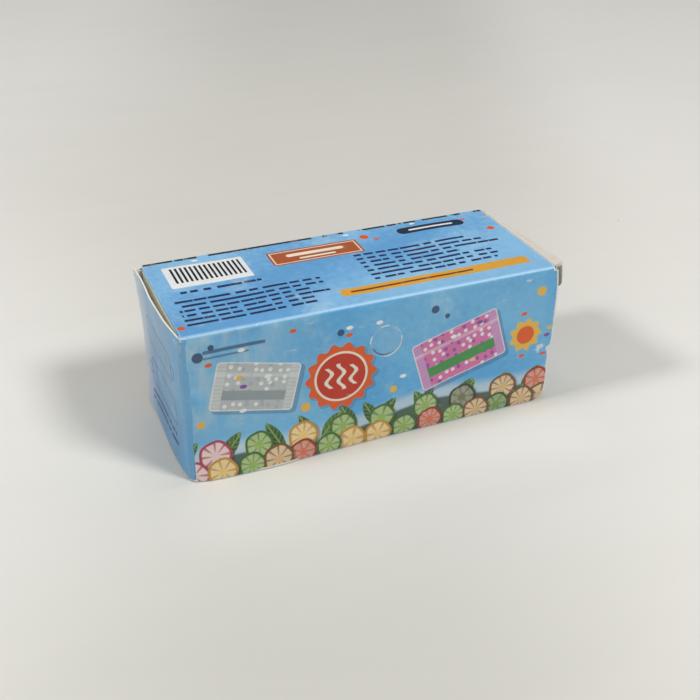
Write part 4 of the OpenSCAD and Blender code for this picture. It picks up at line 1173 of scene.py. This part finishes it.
def eased(node, body, slot, material, width):
    """A piece from its solid, with its edges broken by a small round; the solid itself where that fails."""
    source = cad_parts[node]
    work = bmesh.new()
    work.from_mesh(source.data)
    bmesh.ops.remove_doubles(work, verts=work.verts, dist=2e-6)
    bmesh.ops.dissolve_limit(work, angle_limit=math.radians(1.0), verts=work.verts, edges=work.edges)
    before = work.calc_volume()
    mesh = bpy.data.meshes.new(node + "_eased")
    work.to_mesh(mesh)
    work.free()
    coat(mesh, material)
    piece = linked(node + "_eased", mesh)
    rounding = piece.modifiers.new("edges", "BEVEL")
    rounding.width = width * MM
    rounding.segments = 2
    rounding.limit_method = "ANGLE"
    rounding.angle_limit = math.radians(32.0)
    plain_mesh(piece)
    soften(piece.data, 34.0)
    if before <= 0 or abs(volume(piece.data) - before) > VOLUME_SLACK * before:
        bpy.data.objects.remove(piece)
        coat(source.data, material)
    else:
        finish_piece(piece, body, slot, node)


def geometry_tree(name, inputs, nodes, links):
    """A geometry node tree of inputs and nodes {name: kind} and of links (node, output, node, input). What comes to its
    node real is made real and gets the finish."""
    tree = bpy.data.node_groups.new(name, "GeometryNodeTree")
    for label, kind in {**inputs, "Finish": "Material"}.items():
        tree.interface.new_socket(label, in_out="INPUT", socket_type="NodeSocket" + kind)
    tree.interface.new_socket("Grown", in_out="OUTPUT", socket_type="NodeSocketGeometry")
    made = {label: tree.nodes.new(kind) for label, kind in {
        "entry": "NodeGroupInput", **nodes, "real": "GeometryNodeRealizeInstances",
        "finish": "GeometryNodeSetMaterial", "leave": "NodeGroupOutput",
    }.items()}
    ends = [("real", 0, "finish", 0), ("entry", "Finish", "finish", "Material"), ("finish", 0, "leave", 0)]
    for start, output, end, socket in links + ends:
        tree.links.new(made[start].outputs[output], made[end].inputs[socket])
    return tree, made


def wire_tree():
    """Geometry nodes: a round wire along a path, with closed ends."""
    tree, made = geometry_tree(
        "Wire along path", {"Path": "Geometry", "Wire radius": "Float", "Sides": "Int"},
        {
            "curve": "GeometryNodeMeshToCurve", "ring": "GeometryNodeCurvePrimitiveCircle",
            "sweep": "GeometryNodeCurveToMesh", "smooth": "GeometryNodeSetShadeSmooth",
        },
        [
            ("entry", "Path", "curve", 0), ("entry", "Wire radius", "ring", "Radius"),
            ("entry", "Sides", "ring", "Resolution"), ("curve", 0, "sweep", "Curve"),
            ("ring", "Curve", "sweep", "Profile Curve"), ("sweep", 0, "smooth", 0), ("smooth", 0, "real", 0),
        ],
    )
    made["sweep"].inputs["Fill Caps"].default_value = True
    return tree


def screw_tree():
    """Geometry nodes: one screw on each seat, all turned alike."""
    return geometry_tree(
        "Screws on seats", {"Seats": "Geometry", "Screw": "Object", "Turn": "Vector"},
        {
            "seats": "GeometryNodeMeshToPoints", "screw": "GeometryNodeObjectInfo",
            "stand": "GeometryNodeInstanceOnPoints", "turn": "FunctionNodeEulerToRotation",
        },
        [
            ("entry", "Seats", "seats", "Mesh"), ("entry", "Screw", "screw", "Object"), ("seats", 0, "stand", "Points"),
            ("screw", "Geometry", "stand", "Instance"), ("entry", "Turn", "turn", "Euler"),
            ("turn", "Rotation", "stand", "Rotation"), ("stand", 0, "real", 0),
        ],
    )[0]


def grown(name, tree, points, edges, **inputs):
    """A piece grown by a geometry node tree from a mesh of points and edges."""
    mesh = bpy.data.meshes.new(name)
    mesh.from_pydata(metres(points), edges, [])
    piece = linked(name, mesh)
    growth = piece.modifiers.new("growth", "NODES")
    growth.node_group = tree
    for item in tree.interface.items_tree:
        label = item.name.replace(" ", "_")
        if item.item_type == "SOCKET" and item.in_out == "INPUT" and label in inputs:
            growth[item.identifier] = inputs[label]
    plain_mesh(piece)
    soften(piece.data, 40.0)
    return piece


def wires(name, paths, radius, sides, material):
    """Round wires along paths, as one piece."""
    points, edges = [], []
    for path in paths:
        edges += [(len(points) + k, len(points) + k + 1) for k in range(len(path) - 1)]
        points += path
    return grown(name, WIRE, points, edges, Wire_radius=radius * MM, Sides=sides, Finish=material)


def helix(place, turn, d, z0, z1, turns):
    """Wire path of a spring along its own Z."""
    made = []
    for t in steps(0.0, 1.0, 1.0 / (turns * 28)):
        a = 2.0 * math.pi * turns * t
        made.append(SEALER + place + turn @ Vector((d / 2 * math.cos(a), d / 2 * math.sin(a), z0 + (z1 - z0) * t)))
    return made


def route(points):
    """A lead's path: a smooth curve by four control points, in the sealer."""
    a, b, c, d = (Vector(p) for p in points)
    made = []
    for t in steps(0.0, 1.0, 1.0 / 26.0):
        s = 1.0 - t
        made.append(SEALER + s ** 3 * a + 3 * s * s * t * b + 3 * s * t * t * c + t ** 3 * d)
    return made


def make_screw():
    """Pan head screw with a cross recess and a threaded shank, head's underside at zero."""
    profile = [(0.9, 1.06), (1.35, 0.92), (1.68, 0.66), (1.8, 0.36), (1.8, 0.06), (1.74, 0.0), (0.9, 0.0)]
    z = -0.25
    while z > -4.1:
        profile += [(0.72, z), (0.9, z - 0.14), (0.9, z - 0.2), (0.72, z - 0.34)]
        z -= 0.42
    profile.append((0.6, z))
    sides, count = 24, len(profile)
    turns = [2 * math.pi * k / sides for k in range(sides)]
    points = [(r * math.cos(a), r * math.sin(a), h) for r, h in profile for a in turns]
    top, low = len(points), len(points) + 1
    points += [(0.0, 0.0, 1.1), (0.0, 0.0, z - 0.3)]
    pairs = [(k, (k + 1) % sides) for k in range(sides)]
    faces = [
        (i * sides + m, i * sides + k, (i + 1) * sides + k, (i + 1) * sides + m)
        for i in range(count - 1) for k, m in pairs
    ]
    for k, m in pairs:
        faces += [(top, k, m), (low, (count - 1) * sides + m, (count - 1) * sides + k)]
    screw = add_piece("screw_form", points, faces, [STEEL])
    cut_points, cut_faces = [], []
    for sx, sy in ((1.05, 0.2), (0.2, 1.05)):
        base = len(cut_points)
        for h, share in ((0.42, 0.6), (1.6, 1.25)):
            cut_points += [(x * sx * share, y * sy, h) for x, y in ((-1, -1), (1, -1), (1, 1), (-1, 1))]
        cut_faces += [tuple(base + k for k in f) for f in (
            (3, 2, 1, 0), (4, 5, 6, 7), (0, 1, 5, 4), (1, 2, 6, 5), (2, 3, 7, 6), (3, 0, 4, 7))]
    recess = add_piece("recess_form", cut_points, cut_faces, [STEEL])
    cut = screw.modifiers.new("recess", "BOOLEAN")
    cut.operation = "DIFFERENCE"
    cut.object = recess
    cut.solver = "EXACT"
    cut.use_self = True
    plain_mesh(screw)
    bpy.data.objects.remove(recess)
    return screw


# The whole

def make_floor():
    mesh = bpy.data.meshes.new("floor")
    mesh.from_pydata([(-4, -4, 0), (4, -4, 0), (4, 4, 0), (-4, 4, 0)], [], [(0, 1, 2, 3)])
    coat(mesh, new_material("pale_floor", floor_look, 0.03, specular=0.2))
    floor = linked("floor", mesh)
    floor.location.z = -0.00005


def make_carton():
    finish_piece(make_sleeve(), "carton", "printed_board", "carton_sleeve")
    left = make_closure("left_closure_board", LEFT_TOP, LEFT_AJAR, LEFT_END, False)
    finish_piece(left, "left_closure", "printed_board", "left_closure")
    right = make_closure("right_closure_board", RIGHT_TOP, RIGHT_AJAR, RIGHT_END, True)
    finish_piece(right, "right_closure", "printed_board", "right_closure")
    finish_piece(make_bulged_flap(), "right_top_flap", "bare_board", "right_top_dust_flap")
    finish_piece(make_sticker(), "carton", "clear_film", "clear_sticker")
    for node, material in (
        ("left_top_dust_flap", LIT_GAP_FLAP), ("left_bottom_dust_flap", FLAP), ("right_bottom_dust_flap", FLAP),
    ):
        coat(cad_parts[node].data, material)


def make_creases():
    """Board across the creases, from a start on the carton to an end on the part that moves. The bulged flap
    brings its own crease."""
    for name, sign, a0, top, body, material in (
        ("left_closure_crease", -1.0, 270.0, 47.5, "left_closure", LEFT_END),
        ("right_closure_crease", 1.0, 90.0, RIGHT_TOP, "right_closure", RIGHT_END),
    ):
        x, y = sign * (PANEL_X - CORNER), sign * (HALF_W - CORNER)
        path = corner_path(x, y, CORNER + SKIN, a0, a0 - 90.0, 0.4, 10)
        piece = make_crease(name, path, (0.15, top), True, material, BOARD + 2 * SKIN)
        start = Vector((x, y + sign * CORNER, HEIGHT / 2)) * MM
        end = Vector((x + sign * CORNER, y, HEIGHT / 2)) * MM
        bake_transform(piece)
    for name, sx, sz, a0, a1, ends, body, material in (
        ("left_top_crease", -1.0, 1.0, 90.0, 180.0, (-22.5, 21.2), "left_top_flap", TOP),
        ("left_bottom_crease", -1.0, -1.0, 270.0, 180.0, (-22.5, 21.2), "left_bottom_flap", BOTTOM),
        ("right_bottom_crease", 1.0, -1.0, 270.0, 360.0, (-21.2, 22.5), "right_bottom_flap", BOTTOM),
    ):
        x, z = sx * CREASE_X, CREASE_HIGH if sz > 0 else CREASE_LOW
        path = corner_path(x, z, BOARD / 2 + SKIN, a0, a1, 0.35, 8)
        piece = make_crease(name, path, ends, False, material, 0.05)
        start = Vector((x - sx * 0.15, 0.0, z + sz * 0.28)) * MM
        end = Vector((x + sx * 0.28, 0.0, z - sz * 0.15)) * MM
        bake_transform(piece)


# Pieces made from their solids: node, body, slot, material and width of the rounded edges
EASED = [
    ("base_shell", "sealer", "casing_grey", CASING, 0.3),
    ("press_arm", "arm", "casing_grey", CASING, 0.3),
    ("nose_deck", "sealer", "inner_grey", INNER, 0.2),
    ("cell_cover", "sealer", "inner_grey", INNER, 0.3),
    ("arm_liner", "arm", "inner_grey", INNER, 0.25),
    ("hinge_pin", "sealer", "steel", STEEL, 0.3),
    ("silicone_pad", "arm", "silicone", SILICONE, 0.4),
    ("ceramic_head", "sealer", "ceramic", CERAMIC, 0.35),
    ("heating_ribbon", "sealer", "ribbon", RIBBON, 0.04),
    ("slip_cover", "sealer", "slip_film", SLIP, 0.04),
]
BRASSWARE = [
    "heater_terminals", "switch_leaf", "switch_anvil", "bridge_contact", "positive_contact", "negative_contact",
]
# Leads: node, material, slot and control points
LEADS = [
    ("red_lead", RED_SLEEVE, "red_sleeve",
     ((-29.95, 5.05, 13.65), (-34.95, 4.55, 14.0), (-35.0, 11.4, 14.0), (-39.45, 14.0, 14.0))),
    ("black_lead", BLACK_SLEEVE, "black_sleeve",
     ((-29.95, -5.05, 13.65), (-32.95, -4.05, 14.0), (-32.8, -6.0, 14.0), (-34.25, -8.7, 14.0))),
    ("link_lead", BLACK_SLEEVE, "black_sleeve",
     ((-30.05, -9.4, 14.0), (-32.5, -10.2, 14.0), (-35.0, -12.4, 14.0), (-39.45, -14.1, 14.0))),
]
# Springs: place and turn in the sealer, diameter at the middle of the wire, both ends, and number of turns
RETURN_SPRING = (Vector((-31.9, 0.0, 0.0)), Matrix.Identity(3), 5.3, 18.17, 27.59, 6)
CELL_SPRINGS = [
    (Vector((x, y, 11.25)), Matrix.Rotation(math.radians(turn), 3, "Y"), 7.4, 0.33, 4.7, 4)
    for x, y, turn in ((-21.38, -8.25, 90.0), (34.08, 8.25, -90.0))
]
# Radii of the wires
RETURN_WIRE, CELL_WIRE, LEAD_WIRE = 0.35, 0.30, 0.7
# Where the screws' heads sit in the sealer: on the deck, and under the arm
DECK_SEATS = [Vector((-29.5, y, 19.0)) for y in (-13.0, 13.0)]
LINER_SEATS = [Vector((x, 0.0, 23.8)) for x in (-16.0, 14.0)]
WIRE = wire_tree()


def make_springs():
    spring = wires("return_spring_wire", [helix(*RETURN_SPRING)], RETURN_WIRE, 14, STEEL)
    finish_piece(spring, "sealer", "steel", "return_spring")
    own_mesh(spring)
    pair = wires("cell_spring_wires", [helix(*row) for row in CELL_SPRINGS], CELL_WIRE, 12, STEEL)
    finish_piece(pair, "sealer", "steel", "cell_springs")


def make_screws():
    screw, seats = make_screw(), screw_tree()
    deck = [SEALER + seat for seat in DECK_SEATS]
    lift = Matrix.Rotation(ARM_REST, 3, "Y")
    under = [PIN + lift @ (SEALER + seat - PIN) for seat in LINER_SEATS]
    for name, places, turn, body, node in (
        ("deck_screw_pair", deck, (0.0, 0.0, 0.5), "sealer", "deck_screws"),
        ("liner_screw_pair", under, (math.pi, -ARM_REST, 0.3), "arm", "liner_screws"),
    ):
        piece = grown(name, seats, places, [], Screw=screw, Turn=turn, Finish=STEEL)
        finish_piece(piece, body, "steel", node)
    bpy.data.objects.remove(screw)


def make_sealer():
    for row in EASED + [(node, "sealer", "brass", BRASS, 0.1) for node in BRASSWARE]:
        eased(*row)
    make_springs()
    for node, material, slot, points in LEADS:
        finish_piece(wires(node + "_wire", [route(points)], LEAD_WIRE, 16, material), "sealer", slot, node)
    make_screws()


make_camera()
make_light()
make_floor()
make_carton()
make_creases()
make_sealer()

bpy.context.scene.view_settings.view_transform = "Standard"
